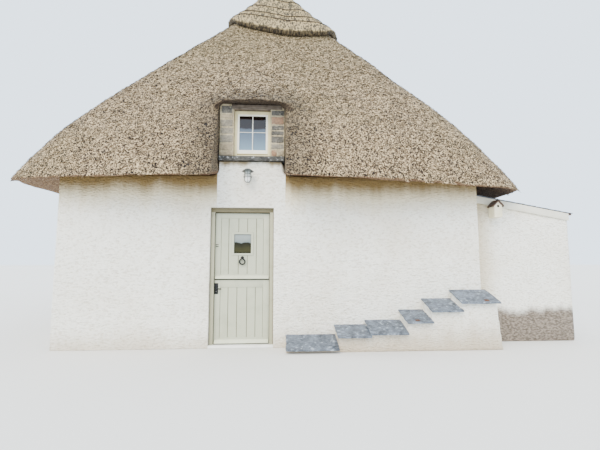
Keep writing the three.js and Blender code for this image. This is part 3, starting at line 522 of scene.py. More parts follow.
# Field stone of the window piers, split with a hammer: matt, and mottled by its minerals, in four colours
rubble = {colour: makeGrained(colour + "Rubble", light, dark, 0.03, speck=speck, relief=0.012, contrast=0.35)
    for colour, light, dark, speck in (
        ("grey", "#9c9584", "#5d584d", "#857a64"), ("dark", "#77736a", "#34322d", "#88816f"),
        ("tan", "#b0a185", "#766c58", "#978a72"), ("brown", "#a98262", "#6b594a", "#a8987f"))}
# Lime mortar, trowelled and washed by rain: buff, matt and gritty
limeMortar = makeGrained("limeMortar", "#bdb091", "#877b61", 0.03, relief=0.01)
# Riven slate on the plinth: a low sheen on cleft flakes of 26 mm, blue-grey with pale bruises
rivenSlate = makeGrained("rivenSlate", "#76818f", "#292f38", 0.026, (0.6, 1.2, 3), 0.55, 0.01, "#98a2ac",
    contrast=0.24, specks=0.62)
# The same stone as sills, under drips from the thatch: near black, with pale lichen
darkSlate = makeGrained("darkSlate", "#55544f", "#131312", 0.022, (0.6, 1, 2), 0.7, 0.012, "#8f9293",
    contrast=0.22, specks=0.6)
# Split roofing slate, thin and flat: even blue-grey with spots of lichen
roofSlate = makeGrained("roofSlate", "#737b86", "#4c535d", 0.05, (1, 1, 3), 0.6, 0.004, "#8b8f86",
    contrast=0.35)
# Wrought iron left bare in the weather: no shine, red-brown scale of 10 mm
rustedIron = makeGrained("rustedIron", "#6f4a36", "#2f1f18", 0.01, roughness=0.9, relief=0.001)
# Oak, adzed and never painted: silver grey, with dark shakes drawn 20 mm apart so that they show
weatheredOak = makeGrained("weatheredOak", "#7b6f62", "#3c342d", 0.02, (0.08, 1, 1), 0.85, 0.006,
    contrast=0.3)
# Planed pine, waxed by wear: warm brown, with its grain drawn 20 mm wide along the boards
loftBoards = makeGrained("loftBoards", "#a98560", "#7d5d3f", 0.02, (1, 0.06, 1), 0.7, 0.002)
# Sawn limestone flags, worn flat: pale grey in soft clouds of 120 mm
flagstones = makeGrained("flagstones", "#9b978d", "#716d64", 0.12, roughness=0.75, relief=0.003)
# Sawn softwood under brown stain: flat dark brown, a little streaky along the boards
stainedBoards = makeGrained("stainedBoards", "#5d4536", "#33261f", 0.015, (1, 0.1, 1), 0.7, 0.003)
# Softwood inside the bird box, unpainted: dark as painted shade inside the box
bareSoftwood = makeGrained("bareSoftwood", "#3c2f22", "#1d1610", 0.02, (1, 1, 0.1), 0.85, 0.002)
# Split hazel with its bark on: nearly black, against the straw
hazelRod = makeGrained("hazelRod", "#3f3121", "#1d150c", 0.02, (1, 1, 1), 0.85, 0.002)
# Sage-green gloss gone to eggshell: pale on the leaves, paler on the bars that face up as painted light,
# darker in the joints and under the bars with grime and painted shade, darker on the frame, and in painted
# shade under its head
sagePaint = makePaint("sagePaint", "#b4b69f", "#92947a", 0.45)
sageOnBars = makePaint("sageOnBars", "#d0d2b9", "#aeb094", 0.45)
sageInJoints = makePaint("sageInJoints", "#737460", "#55553f", 0.6)
sageOnFrame = makePaint("sageOnFrame", "#a3a086", "#77745a", 0.5)
sageInShade = makePaint("sageInShade", "#6a6246", "#4a4430", 0.55)
# Moulded rubber strip: brown-black and dull, set where it draws painted shade lines round the leaves. Sealant,
# tooled by finger and dusty: putty brown, darkened to draw a painted shade line at the reveal
rubberSeal = makePaint("rubberSeal", "#2a271c", "#1b1912", 0.8)
oldSealant = makePaint("oldSealant", "#6c6450", "#4c4536", 0.7)
# Cream gloss: yellowed on the window frames, newer on their sashes, and clean on the bird box
frameCream = makePaint("frameCream", "#e4d7a6", "#b3a474", 0.45)
sashCream = makePaint("sashCream", "#f7f4e8", "#cfc8ac", 0.4)
creamPaint = makePaint("creamPaint", "#f3eacb", "#b5a984", 0.4)
# White masonry paint on the threshold: matt and scuffed. White on the verge boards: gone grey and chalky
whitePaint = makePaint("whitePaint", "#efeee9", "#c9c4b6", 0.55, (90, 3, 90))
greyedPaint = makePaint("greyedPaint", "#dcd9c9", "#a6a08a", 0.6, (3, 90, 90))
# Window glass has a painted reflection of daylight low down and the dark of the thatch over it. The door's
# light has a painted reflection of dark greens under a pale band, and the lantern's blown bowl is clear,
# bright and a little clouded
paintedPaneReflection = [(0.05, "#728b9c"), (0.4, "#5d6d7e"), (0.64, "#53606e"), (0.69, "#1c0f0c"), (1.0, "#120806")]
highWindowGlass = makeGlass("highWindowGlass", 3.015, 0.555, paintedPaneReflection)
lowWindowGlass = makeGlass("lowWindowGlass", 1.205, 0.555, paintedPaneReflection)
doorLightGlass = makeGlass("doorLightGlass", 1.395, 0.295, [(0.0, "#16150a"), (0.3, "#35331a"),
    (0.7, "#1b190c"), (0.76, "#7d8584"), (1.0, "#8f9694")], 0.3, shine=0.15)
lampGlass = makeGlass("lampGlass", 2.45, 0.12, [(0.0, "#d9dedb"), (0.5, "#fbfcfa"), (1.0, "#c2c8c6")], 0.1,
    0.08)
# Forged iron under black japan: a soft sheen. Hot-dipped zinc: bright where new, dull grey where old, and the
# lantern body's zinc darker still as painted shade under its hood
japannedIron = makeMetal("japannedIron", "#1f2022", "#101112", 0.45, 0.5)
brightZinc = makeMetal("brightZinc", "#c6cbc7", "#8f9592", 0.45, 0.5)
galvanised = makeMetal("galvanised", "#6f7473", "#4a4e4e", 0.5, 0.7)
print("materials ready")

# Walls of the main block and lean-to: hand-laid faces that wander by a few millimetres, with soft arrises
walls = {
    "voxels": {"blockWalls": 0.05, "leanToWalls": 0.04, "plinthWall": 0.022}, "kept": 0.35,
    "wander": 0.7, "wanderDepth": 0.014, "leanToSunk": 0.08,
    "doorway": (-0.97, -0.01), "doorwayTop": 2.092, "doorwayDeep": (-5, -3.8), "tight": 0.06,
}


def buildWalls():
    left, right = walls["doorway"]
    front, inside = walls["doorwayDeep"]
    tight, top = walls["tight"], walls["doorwayTop"]
    for name, parts in (
            ("blockWalls", ("front_wall_left", "front_wall_right", "front_wall_head", "back_wall",
                "left_wall", "right_wall")),
            ("leanToWalls", ("lean_to_front_wall", "lean_to_back_wall", "lean_to_side_wall")),
            ("plinthWall", ("stepped_plinth",))):
        piece = copyOfNodes(name, *parts)
        moves = ()
        if name == "leanToWalls":  # its ends go into the block's wall
            moves = ((lambda c, n: n.x < -0.9 and c.x < 3.3, (-walls["leanToSunk"], 0, 0)),)
        if name == "blockWalls":  # the doorway is left tight, then cut true
            moves = ((lambda c, n: n.x > 0.9 and abs(c.x - left) < 0.002, (tight, 0, 0)),
                (lambda c, n: n.x < -0.9 and abs(c.x - right) < 0.002, (-tight, 0, 0)),
                (lambda c, n: n.z < -0.9 and abs(c.z - top) < 0.002, (0, 0, -tight)))
        for test, move in moves:
            editFaces(piece, test)
            bpy.ops.transform.translate(value=move)
            doneEditing()
        applied(piece, "REMESH", mode="VOXEL", voxel_size=walls["voxels"][name])
        applied(piece, "DECIMATE", ratio=walls["kept"])
        roughened(piece, walls["wander"], walls["wanderDepth"])
        levelled(piece)
        if name == "blockWalls":
            cutBy(piece, addBox("cutter", (left, front, -1), (right, inside, top)))
        finished(piece, limewashedRoughcast, stands=parts, smooth=60)


buildWalls()
print("walls ready")

# Thatch: one shaggy coat over all four slopes, with tufts of reed laid on it
thatch = {
    "voxel": 0.054, "undulation": 0.6, "undulationDepth": 0.04, "clump": 0.08, "clumpDepth": 0.007,
    "innerApex": 7.0, "innerRise": 4.4, "innerHalf": (0.015, 3.015), "innerDeep": (1.85, 2.425),
    "innerSpare": 0.07, "innerKept": 0.08, "tuftsPerMetre": 310, "tuftLength": 0.042, "tuftLift": 0.013,
    "reedWidth": 0.0075, "reedDeep": (-0.008, 0.003),
    "reeds": ((-0.01, 0.004, -0.002), (0.001, -0.006, 0.001), (0.011, 0.009, 0.003)),  # across, ahead, aslant
    "turns": ((-0.05, -0.1, -0.3), (0.12, 0.1, 0.3)), "sizes": ((0.6, 0.7, 0.7), (1.4, 1.2, 1.2)),
    "seeds": {"tuftsInFront": 3, "tuftsBehind": 4, "tuftsOnTheLeft": 5, "tuftsOnTheRight": 8},
}


def underCoat(centre):  # inside the line of the rafters
    share = (thatch["innerApex"] - centre.z) / thatch["innerRise"]
    halfX = thatch["innerHalf"][0] + thatch["innerHalf"][1] * share
    halfY = thatch["innerDeep"][0] + thatch["innerDeep"][1] * share
    return abs(centre.x) < halfX + thatch["innerSpare"] and abs(centre.y) < halfY + thatch["innerSpare"]


def buildThatch():
    slopes = ("thatch_front", "thatch_right", "thatch_back", "thatch_left")
    coat = copyOfNodes("thatchCoat", *slopes)
    applied(coat, "REMESH", mode="VOXEL", voxel_size=thatch["voxel"])
    editFaces(coat, lambda c, n: underCoat(c))
    bpy.ops.mesh.decimate(ratio=thatch["innerKept"])
    doneEditing()
    roughened(coat, thatch["undulation"], thatch["undulationDepth"], 0.75)
    roughened(coat, thatch["clump"], thatch["clumpDepth"], 0.8)
    finished(coat, waterReed, stands=slopes, smooth=180)
    return coat


def modelTuft():  # three reeds side by side, butt ends down the slope along +Y
    long, (foot, top) = thatch["tuftLength"], thatch["reedDeep"]
    wide = thatch["reedWidth"] / 2
    reeds = []
    for across, ahead, turn in thatch["reeds"]:
        near, far = ahead - long / 2, ahead + long / 2
        strand = addBox("strand", (across - wide, near, foot), (across + wide, far, top))
        editFaces(strand, lambda c, n: n.y > 0.9)
        bpy.ops.transform.translate(value=(turn, 0, thatch["tuftLift"] / 2))
        doneEditing()
        editFaces(strand, lambda c, n: n.y < -0.9)
        bpy.ops.transform.resize(value=(0.6, 1, 0.5))
        doneEditing()
        editFaces(strand, lambda c, n: n.y < -0.6 or n.z < -0.6 or abs(n.x) > 0.6)  # sides that aren't seen
        bpy.ops.mesh.delete(type="ONLY_FACE")
        doneEditing()
        reeds.append(strand)
    return joinedUp("reedTuft", reeds)


def layTufts(name, coat, tuft, test):  # tufts scattered over the faces that pass
    ground = copied(coat, name=name)
    ground.parent = None
    for key in [k for k in ground.keys() if k.startswith("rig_")]:
        del ground[key]
    editFaces(ground, lambda c, n: underCoat(c) or n.z < 0.2 or not test(c, n))
    bpy.ops.mesh.delete(type="FACE")
    doneEditing()
    tree = bpy.data.node_groups.new(name + "Laying", "GeometryNodeTree")
    tree.interface.new_socket("Geometry", in_out="INPUT", socket_type="NodeSocketGeometry")
    tree.interface.new_socket("Geometry", in_out="OUTPUT", socket_type="NodeSocketGeometry")
    start = addNode(tree, "NodeGroupInput")
    points = addNode(tree, "GeometryNodeDistributePointsOnFaces", {"Mesh": start.outputs[0],
        "Density": float(thatch["tuftsPerMetre"]), "Seed": thatch["seeds"][name]})
    upright = addNode(tree, "FunctionNodeAlignRotationToVector", {"Vector": points.outputs["Normal"]},
        axis="Z")
    downhill = addNode(tree, "FunctionNodeAlignRotationToVector", {"Rotation": upright.outputs[0],
        "Vector": (0, 0, -1)}, axis="Y", pivot_axis="Z")
    waywardness = addNode(tree, "FunctionNodeRandomValue", dict(enumerate(thatch["turns"])),
        data_type="FLOAT_VECTOR")
    swing = addNode(tree, "FunctionNodeEulerToRotation", {0: waywardness.outputs[0]})
    turned = addNode(tree, "FunctionNodeRotateRotation", {0: downhill.outputs[0], 1: swing.outputs[0]},
        rotation_space="LOCAL")
    sizes = addNode(tree, "FunctionNodeRandomValue", dict(enumerate(thatch["sizes"])),
        data_type="FLOAT_VECTOR")
    source = addNode(tree, "GeometryNodeObjectInfo", {"Object": tuft})
    laid = addNode(tree, "GeometryNodeInstanceOnPoints", {"Points": points.outputs["Points"],
        "Instance": source.outputs["Geometry"], "Rotation": turned.outputs[0], "Scale": sizes.outputs[0]})
    real = addNode(tree, "GeometryNodeRealizeInstances", {0: laid.outputs[0]})
    addNode(tree, "NodeGroupOutput", {0: real.outputs[0]})
    applied(ground, "NODES", node_group=tree)
    finished(ground, waterReed, smooth=20)


coat = buildThatch()
tuft = modelTuft()
layTufts("tuftsInFront", coat, tuft, lambda c, n: abs(n.y) > abs(n.x) and c.y < 0)
layTufts("tuftsBehind", coat, tuft, lambda c, n: abs(n.y) > abs(n.x) and c.y > 0)
layTufts("tuftsOnTheLeft", coat, tuft, lambda c, n: abs(n.y) <= abs(n.x) and c.x < 0)
layTufts("tuftsOnTheRight", coat, tuft, lambda c, n: abs(n.y) <= abs(n.x) and c.x > 0)
bpy.data.objects.remove(tuft)
print("thatch ready")

# Ridge cap: a newer coat of straw under rows of split hazel that follow its lower edge
ridge = {
    "voxel": 0.04, "clump": 0.07, "clumpDepth": 0.012, "rod": 0.009, "dip": 0.2,
    "rods": ((6.222, 0.32, 0.1), (6.395, 0.33, 0.17), (6.68, 0.34, 0.26), (7.05, 0.35, 0.28),
             (7.36, 0.1, 0.1)),  # height where they dip, and rise to each side of it
}


def buildRidgeCap():
    cap = copyOfNodes("ridgeCap", "thatch_ridge_cap")
    rods = []
    for height, riseLeft, riseRight in ridge["rods"]:
        for rise, side in ((riseLeft, 1), (-riseRight, -1)):
            loop = copied(cap, name="hazelRods")
            editFaces(loop, lambda c, n: n.z < -0.05)
            bpy.ops.mesh.delete(type="FACE")
            bpy.ops.mesh.select_all(action="SELECT")
            bpy.ops.mesh.bisect(plane_co=(ridge["dip"], 0, height), plane_no=(rise, 0, 1), clear_inner=True,
                clear_outer=True)
            bpy.ops.mesh.select_all(action="SELECT")
            bpy.ops.mesh.bisect(plane_co=(ridge["dip"], 0, 0), plane_no=(side, 0, 0), clear_outer=True)
            doneEditing()
            activate(loop)
            bpy.ops.object.convert(target="CURVE")
            loop.data.bevel_depth = ridge["rod"]
            loop.data.bevel_resolution = 1
            activate(loop)
            bpy.ops.object.convert(target="MESH")
            rods.append(loop)
    applied(cap, "REMESH", mode="VOXEL", voxel_size=ridge["voxel"])
    roughened(cap, ridge["clump"], ridge["clumpDepth"], 1.0)
    finished(cap, ridgeStraw, stands=("thatch_ridge_cap",), smooth=180)
    finished(joinedUp("hazelRods", rods), hazelRod)


buildRidgeCap()
print("ridge ready")

# Upper windows: piers of bare rubble in lime mortar, with an oak lintel. Each stone is given by its left,
# right, foot and top, from the window's middle and foot
surround = {
    "middle": -0.355, "face": -4.5, "foot": 2.88, "proud": 0.006, "deep": 0.12, "round": 0.014, "cuts": 3,
    "chip": 0.06, "chipDepth": 0.014, "lintelArris": 0.008, "lintelCuts": 8, "shake": 0.05,
    "shakeDepth": 0.008,
    "grey": ((-0.498, -0.298, 0.222, 0.345), (-0.495, -0.296, 0.36, 0.462), (-0.497, -0.3, 0.476, 0.59),
             (0.297, 0.497, 0.128, 0.212)),
    # the top dark stone of each pier is dark partly as painted shade under the thatch
    "dark": ((-0.48, -0.31, 0.69, 0.812), (0.298, 0.495, 0.226, 0.335), (0.296, 0.493, 0.35, 0.42),
             (0.304, 0.497, 0.432, 0.508), (0.298, 0.495, 0.665, 0.752)),
    "tan": ((-0.496, -0.3, 0.012, 0.082), (-0.498, -0.298, 0.096, 0.208), (-0.494, -0.3, 0.604, 0.676),
            (0.4, 0.496, 0.014, 0.116)),
    "brown": ((0.296, 0.386, 0.016, 0.116), (0.297, 0.493, 0.522, 0.65)),
}


def buildSurround():
    middle, face, foot = surround["middle"], surround["face"], surround["foot"]
    for colour, material in rubble.items():
        laid = []
        for x0, x1, z0, z1 in surround[colour]:
            stone = addBox("stone", (middle + x0, face - surround["proud"], foot + z0),
                (middle + x1, face + surround["deep"], foot + z1))
            laid.append(eased(stone, min(surround["round"], (x1 - x0) * 0.3, (z1 - z0) * 0.3)))
        piece = subdivided(joinedUp(colour + "StonesFront", laid), surround["cuts"])
        roughened(piece, surround["chip"], surround["chipDepth"])
        for each in (piece, copied(piece, math.pi, colour + "StonesBack")):
            finished(each, material, smooth=60)
    for side in ("front", "back"):
        mortar = copyOfNodes(side + "Mortar", side + "_window_surround")
        finished(mortar, limeMortar, stands=(side + "_window_surround",))
        lintel = eased(copyOfNodes(side + "Lintel", side + "_window_lintel"), surround["lintelArris"])
        roughened(subdivided(lintel, surround["lintelCuts"]), surround["shake"], surround["shakeDepth"], 0.8)
        finished(lintel, weatheredOak, stands=(side + "_window_lintel",), smooth=60)


# Riven slabs: sills and the slates that cap the plinth, with broken edges and cleft faces. Two slates have a
# rusted cramp at the front edge, at that share of their length
slabs = {
    "cuts": 10, "cleft": 0.16, "cleftDepth": 0.007, "edge": 0.06, "edgeDepth": 0.024, "sillEdgeDepth": 0.006,
    "endEdge": 1.3, "clamps": {"3": 0.38, "5": 0.69}, "clampIn": 0.04, "clampLow": (-0.034, -0.024, -0.004),
    "clampHigh": (0.034, 0.024, 0.005),
}


def buildClamp(slab, node):
    low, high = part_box(node)
    along = slabs["clamps"][node[-1]] * (high[0] - low[0])
    spot = Vector((low[0] + along, low[1] + slabs["clampIn"], high[2]))
    under = min((f for f in slab.data.polygons if f.normal.z > 0.5),
        key=lambda f: (f.center - spot).xy.length)
    clamp = addBox("ironClamp", slabs["clampLow"], slabs["clampHigh"])
    clamp.rotation_euler = under.normal.to_track_quat("Z", "Y").to_euler()
    clamp.location = under.center
    finished(roughened(eased(settle(clamp), 0.0015), 0.02, 0.003), rustedIron)


def buildSlabs():
    sills = ["front_window_sill", "back_window_sill", "left_window_sill"]
    for node in sills + ["plinth_slate_%d" % i for i in range(6)]:
        onPlinth = "plinth" in node
        slab = subdivided(copyOfNodes(node.replace("_", "") + "Riven", node), slabs["cuts"])
        roughened(slab, slabs["cleft"], slabs["cleftDepth"], 0.6)
        roughened(slab, slabs["edge"], slabs["edgeDepth" if onPlinth else "sillEdgeDepth"], direction="Y")
        if onPlinth:
            roughened(slab, slabs["edge"] * slabs["endEdge"], slabs["edgeDepth"], direction="X")
        finished(slab, rivenSlate if onPlinth else darkSlate, stands=(node,), smooth=40)
        if node[-1] in slabs["clamps"]:
            buildClamp(slab, node)


buildSurround()
buildSlabs()
print("stonework ready")

# Windows: a fixed frame, a sash with its glazing bars, and a small weathering at the foot
joinery = {
    "half": 0.2845, "foot": 0.0005, "top": 0.7598, "front": 0.08, "back": 0.15, "frameWidth": 0.045,
    "frameFoot": 0.055, "sashFront": 0.094, "sashBack": 0.14, "sashSpare": 0.001, "glassHalf": 0.2095,
    "glassFoot": 0.1353, "glassTop": 0.6898, "bar": 0.0065, "crossBar": 0.0035, "crossAt": 0.425,
    "arris": 0.003, "drip": (0.012, 0.002, 0.024),  # its reach, and its foot and top over the frame's foot
    "places": {"front": ((-0.355, -4.5, 2.88), 0), "back": ((0.355, 4.5, 2.88), math.pi),
               "left": ((-3.225, 0, 1.07), -math.pi / 2)},  # turned about the upright line
}


def buildWindows():
    j = joinery
    inner, spare = j["half"] - j["frameWidth"], j["sashSpare"]
    reach, low, high = j["drip"]
    fixed = addBox("window", (-j["half"], j["front"], j["foot"]), (j["half"], j["back"], j["top"]))
    cutBy(fixed, addBox("cutter", (-inner, 0, j["frameFoot"]), (inner, 1, j["top"] - j["frameWidth"])))
    sash = addBox("sash", (-inner + spare, j["sashFront"], j["frameFoot"] + spare),
        (inner - spare, j["sashBack"], j["top"] - j["frameWidth"] - spare))
    cutBy(sash, addBox("cutter", (-j["glassHalf"], 0, j["glassFoot"]), (j["glassHalf"], 1, j["glassTop"])))
    drip = addBox("drip", (-inner, j["front"] - reach, j["frameFoot"] + low),
        (inner, j["sashFront"] + 0.002, j["frameFoot"] + high))
    editFaces(drip, lambda c, n: n.y < -0.9)
    bpy.ops.transform.resize(value=(1, 1, 0.4))
    doneEditing()
    upright = addBox("upright", (-j["bar"], j["sashFront"] + 0.004, j["glassFoot"] - 0.002),
        (j["bar"], j["sashBack"] - 0.004, j["glassTop"] + 0.002))
    cross = addBox("cross", (-j["glassHalf"] - 0.002, j["sashFront"] + 0.008, j["crossAt"] - j["crossBar"]),
        (j["glassHalf"] + 0.002, j["sashBack"] - 0.006, j["crossAt"] + j["crossBar"]))
    for piece, paint in ((fixed, frameCream), (drip, frameCream), (sash, sashCream), (upright, sashCream),
            (cross, sashCream)):
        eased(piece, j["arris"])
        piece.data.materials.append(paint)
    window = joinedUp("windowJoinery", [fixed, sash, drip, upright, cross])
    for side, (place, turn) in j["places"].items():
        twin = copied(window, name=side + "WindowJoinery")
        twin.data.transform(Matrix.Translation(place) @ Matrix.Rotation(turn, 4, "Z"))
        finished(twin, None, stands=(side + "_window_frame",))
    bpy.data.objects.remove(window)


buildWindows()
print("windows ready")

# Stable door: two leaves of V-jointed boards in a frame of stiles and rails, with weather bars
door = {
    "middle": -0.49, "left": -0.919, "right": -0.059, "front": -4.38, "back": -4.336, "setBack": 0.008,
    "board": 0.022, "tongue": 0.01, "vee": 0.005, "arris": 0.003, "ledgeDeep": 0.018,
    "barHalf": 0.405, "barReach": 0.035, "barNose": 0.012, "barArris": 0.004,
    "upper": {"bottom": 1.0085, "top": 2.035, "footRail": 0.07, "topRail": 0.1, "bar": (1.009, 1.064),
              "ledge": (1.2, 1.28), "hinges": (1.15, 1.85),
              "joints": (-0.329, -0.212, -0.062, 0.074, 0.211, 0.32)},
    "lower": {"bottom": 0.043, "top": 1.003, "footRail": 0.09, "topRail": 0.125, "bar": (0.05, 0.111),
              "ledge": (0.48, 0.57), "hinges": (0.25, 0.8),
              "joints": (-0.331, -0.21, -0.076, 0.074, 0.203, 0.318)},
    "lightHalf": 0.13, "lightFoot": 1.395, "lightTop": 1.69, "mould": 0.038, "mouldReach": 0.006,
    "mouldFlat": 0.8, "mouldArris": 0.006, "hinge": (-0.0565, -4.3273), "knuckle": 0.008,
    "knuckleFoot": 0.0005, "knuckleTop": 0.04, "flap": 0.036,
}


def buildWeatherBar(z0, z1):
    d = door
    bar = addBox("weatherBar", (d["middle"] - d["barHalf"], d["front"] - d["barReach"], z0),
        (d["middle"] + d["barHalf"], d["front"] + 0.006, z1))
    nose = d["front"] - d["barReach"]
    editEdges(bar, lambda a, b: min(a.z, b.z) > z1 - 0.001 and max(a.y, b.y) < nose + 0.001)
    bpy.ops.transform.translate(value=(0, 0, z0 + d["barNose"] - z1))
    doneEditing()
    eased(bar, d["barArris"], 3, 15)
    # the bar's top takes painted light, and its underside grime and painted shade
    return paintFaces(bar, (sageOnBars, sageInJoints), lambda c, n: n.z < -0.8)


def buildLeaf(which, body, node):
    d, leaf = door, door[which]
    bottom, top, front, back = leaf["bottom"], leaf["top"], d["front"], d["back"]
    edges = [d["middle"] + x for x in leaf["joints"]]
    parts = [
        addBox("stile", (d["left"], front, bottom), (edges[0], back, top)),
        addBox("stile", (edges[-1], front, bottom), (d["right"], back, top)),
        addBox("rail", (edges[0], front + 0.0005, top - leaf["topRail"]), (edges[-1], back, top)),
        addBox("rail", (edges[0], front + 0.0005, bottom), (edges[-1], back, bottom + leaf["footRail"])),
    ]
    for piece in parts:
        eased(piece, d["arris"])
    face = front + d["setBack"]
    light = ((d["middle"] - d["lightHalf"], -5, d["lightFoot"]),
        (d["middle"] + d["lightHalf"], -4, d["lightTop"]))
    boards = []
    for x0, x1 in zip(edges, edges[1:]):
        board = addBox("board", (x0, face, bottom + leaf["footRail"] - d["tongue"]),
            (x1, face + d["board"], top - leaf["topRail"] + d["tongue"]))
        # the V-joints take grime and painted shade
        for paint in (sagePaint, sageInJoints):
            board.data.materials.append(paint)
        applied(board, "BEVEL", width=d["vee"], segments=1, material=1)
        if which == "upper" and x1 > light[0][0] and x0 < light[1][0]:
            cutBy(board, addBox("cutter", *light))
        boards.append(board)
    planks = joinedUp("planks", boards)
    if which == "upper":
        aside, above = d["mould"], d["mould"] * d["mouldFlat"]
        mould = addBox("mould", (light[0][0] - aside, front - d["mouldReach"], light[0][2] - above),
            (light[1][0] + aside, back, light[1][2] + above))
        cutBy(mould, addBox("cutter", *light))
        parts.append(eased(mould, d["mouldArris"], 3))
    low, high = leaf["ledge"]
    ledge = addBox("ledge", (edges[0], back - d["ledgeDeep"], low), (edges[-1], back, high))
    parts.append(eased(ledge, d["arris"]))
    parts.append(buildWeatherBar(*leaf["bar"]))
    x, y = d["hinge"]
    for z in leaf["hinges"]:
        low, high = z + d["knuckleFoot"], z + d["knuckleTop"]
        parts.append(eased(addRod("knuckle", d["knuckle"], (x, y, low), (x, y, high), 20), 0.001))
        parts.append(addBox("flap", (x - d["flap"], back - 0.001, low), (x, back + 0.003, high)))
    for piece in parts:
        if not piece.data.materials:
            piece.data.materials.append(sagePaint)
    finished(joinedUp(which + "Leaf", [planks] + parts), None, body, (node,))


# Door frame: rebated posts and head, a bead of old sealant round it that draws a painted shade line, and dark
# rubber seals round the leaves, on the threshold and between the leaves that draw painted shade lines
doorFrame = {
    "arris": 0.0025, "shadeFrom": 2.02, "bead": 0.007, "beadX": (-0.9665, -0.0135), "beadY": -4.432,
    "beadFoot": 0.04, "beadTop": 2.088, "stepArris": 0.006, "sealArris": 0.0015,
    # dark strips beside the leaves, under the head and on the threshold: painted shade lines round the leaves
    "seals": (((-0.9105, -4.392, 0.037), (-0.904, -4.386, 2.024)),
              ((-0.078, -4.392, 0.037), (-0.0695, -4.386, 2.024)),
              ((-0.904, -4.392, 2.012), (-0.078, -4.386, 2.0255)),
              ((-0.9, -4.408, 0.0355), (-0.08, -4.4, 0.0455))),
    # a dark strip under the upper leaf's bar: painted shadow line between the leaves
    "meetingSeal": ((-0.9, -4.383, 0.99), (-0.08, -4.37, 1.0025)),
}


def buildDoorFrame():
    f = doorFrame
    frameParts = ("door_jamb_left", "door_jamb_right", "door_frame_head")
    posts = eased(copyOfNodes("doorPosts", *frameParts), f["arris"])
    (x0, x1), y, top = f["beadX"], f["beadY"], f["beadTop"]
    # the bead's dark sealant draws the painted shade line where the frame meets the reveal
    beads = [addRod("bead", f["bead"], (x, y, f["beadFoot"]), (x, y, top), 12) for x in (x0, x1)]
    beads.append(addRod("bead", f["bead"], (x0, y, top), (x1, y, top), 12))
    paintFaces(posts, (sageOnFrame, sageInShade), lambda c, n: c.z > f["shadeFrom"])
    finished(posts, None, stands=frameParts)
    finished(joinedUp("doorSealant", beads), oldSealant)
    seals = [eased(addBox("seal", low, high), f["sealArris"]) for low, high in f["seals"]]
    finished(joinedUp("draughtSeals", seals), rubberSeal)
    meeting = eased(addBox("meetingSeal", *f["meetingSeal"]), f["sealArris"])
    finished(meeting, rubberSeal, "lower_door")
    step = copyOfNodes("doorThreshold", "door_threshold")
    finished(eased(step, f["stepArris"], 3), whitePaint, stands=("door_threshold",))


# Door furniture in black iron: ring knocker with its stud, handle plate and lever, and a night latch
furniture = {
    "face": -4.3803, "arris": 0.0015,
    "pin": (-0.49, -4.401, 1.328), "pinHalf": 0.007, "pinRadius": 0.004, "rose": (0.024, 0.005),
    "cheek": 0.0093, "stud": (0.011, 0.0042, 0.009), "ring": 0.041, "tube": 0.0108, "ringAt": 1.268,
    "neck": (0.0035, 0.0045),
    "plate": (-0.904, -0.848, 0.778, 0.943), "plateThick": 0.004, "keyhole": (0.805, 0.822),
    "keyWidth": (0.0016, 0.004), "screws": (0.788, 0.933), "screw": (0.0045, 0.0055),
    "lever": (-0.876, 0.858), "leverRose": (0.014, -4.3922), "spindle": (0.008, -4.3926, -4.4275),
    "leverEnd": -0.793, "arm": (-4.4285, -4.4175, 0.01),
    "latch": ((-0.896, -4.386, 1.488), (-0.852, -4.379, 1.538)), "slots": (1.494, 1.52),
    "slot": (-0.894, -0.855, 0.012),
}


def buildKnocker():
    f = furniture
    x, y, z = f["pin"]
    face, radius, thick = f["face"], *f["rose"]
    rose = eased(addRod("rose", radius, (x, face, z), (x, face - thick, z), 32), 0.002)
    editFaces(rose, lambda c, n: n.y < -0.9)
    bpy.ops.mesh.inset(thickness=0.007)
    bpy.ops.transform.translate(value=(0, -0.003, 0))
    doneEditing()
    cheeks = [eased(addBox("cheek", (x + s * f["cheek"] - 0.002, y - 0.005, z - 0.006),
        (x + s * f["cheek"] + 0.002, face, z + 0.006)), f["arris"]) for s in (-1, 1)]
    strike = f["ringAt"] - f["ring"]
    radius, thick, endRadius = f["stud"]
    stud = addRod("stud", radius, (x, face, strike), (x, face - thick, strike), 20, endRadius)
    plate = joinedUp("knockerPlate", [rose] + cheeks + [eased(stud, f["arris"])])
    finished(plate, japannedIron, "upper_door", ("knocker_plate",))
    deselectAll()
    bpy.ops.mesh.primitive_torus_add(major_radius=f["ring"], minor_radius=f["tube"], major_segments=48,
        minor_segments=12, location=(x, y, f["ringAt"]), rotation=(math.pi / 2, 0, 0))
    ring = settle(named("ring"))
    editFaces(ring, lambda c, n: c.z < f["ringAt"] - 0.022)  # a little fuller at the foot
    bpy.ops.transform.resize(value=(1.02, 1, 1.02), use_proportional_edit=True, proportional_size=0.03)
    doneEditing()
    radius, endRadius = f["neck"]
    neck = addRod("neck", radius, (x, y, f["ringAt"] + f["ring"] - 0.002), (x, y, z), 16, endRadius)
    pin = addRod("pin", f["pinRadius"], (x - f["pinHalf"], y, z), (x + f["pinHalf"], y, z), 20)
    ring = joinedUp("knockerRing", [ring, neck, eased(pin, 0.0008)])
    finished(ring, japannedIron, "knocker", ("knocker_ring",))


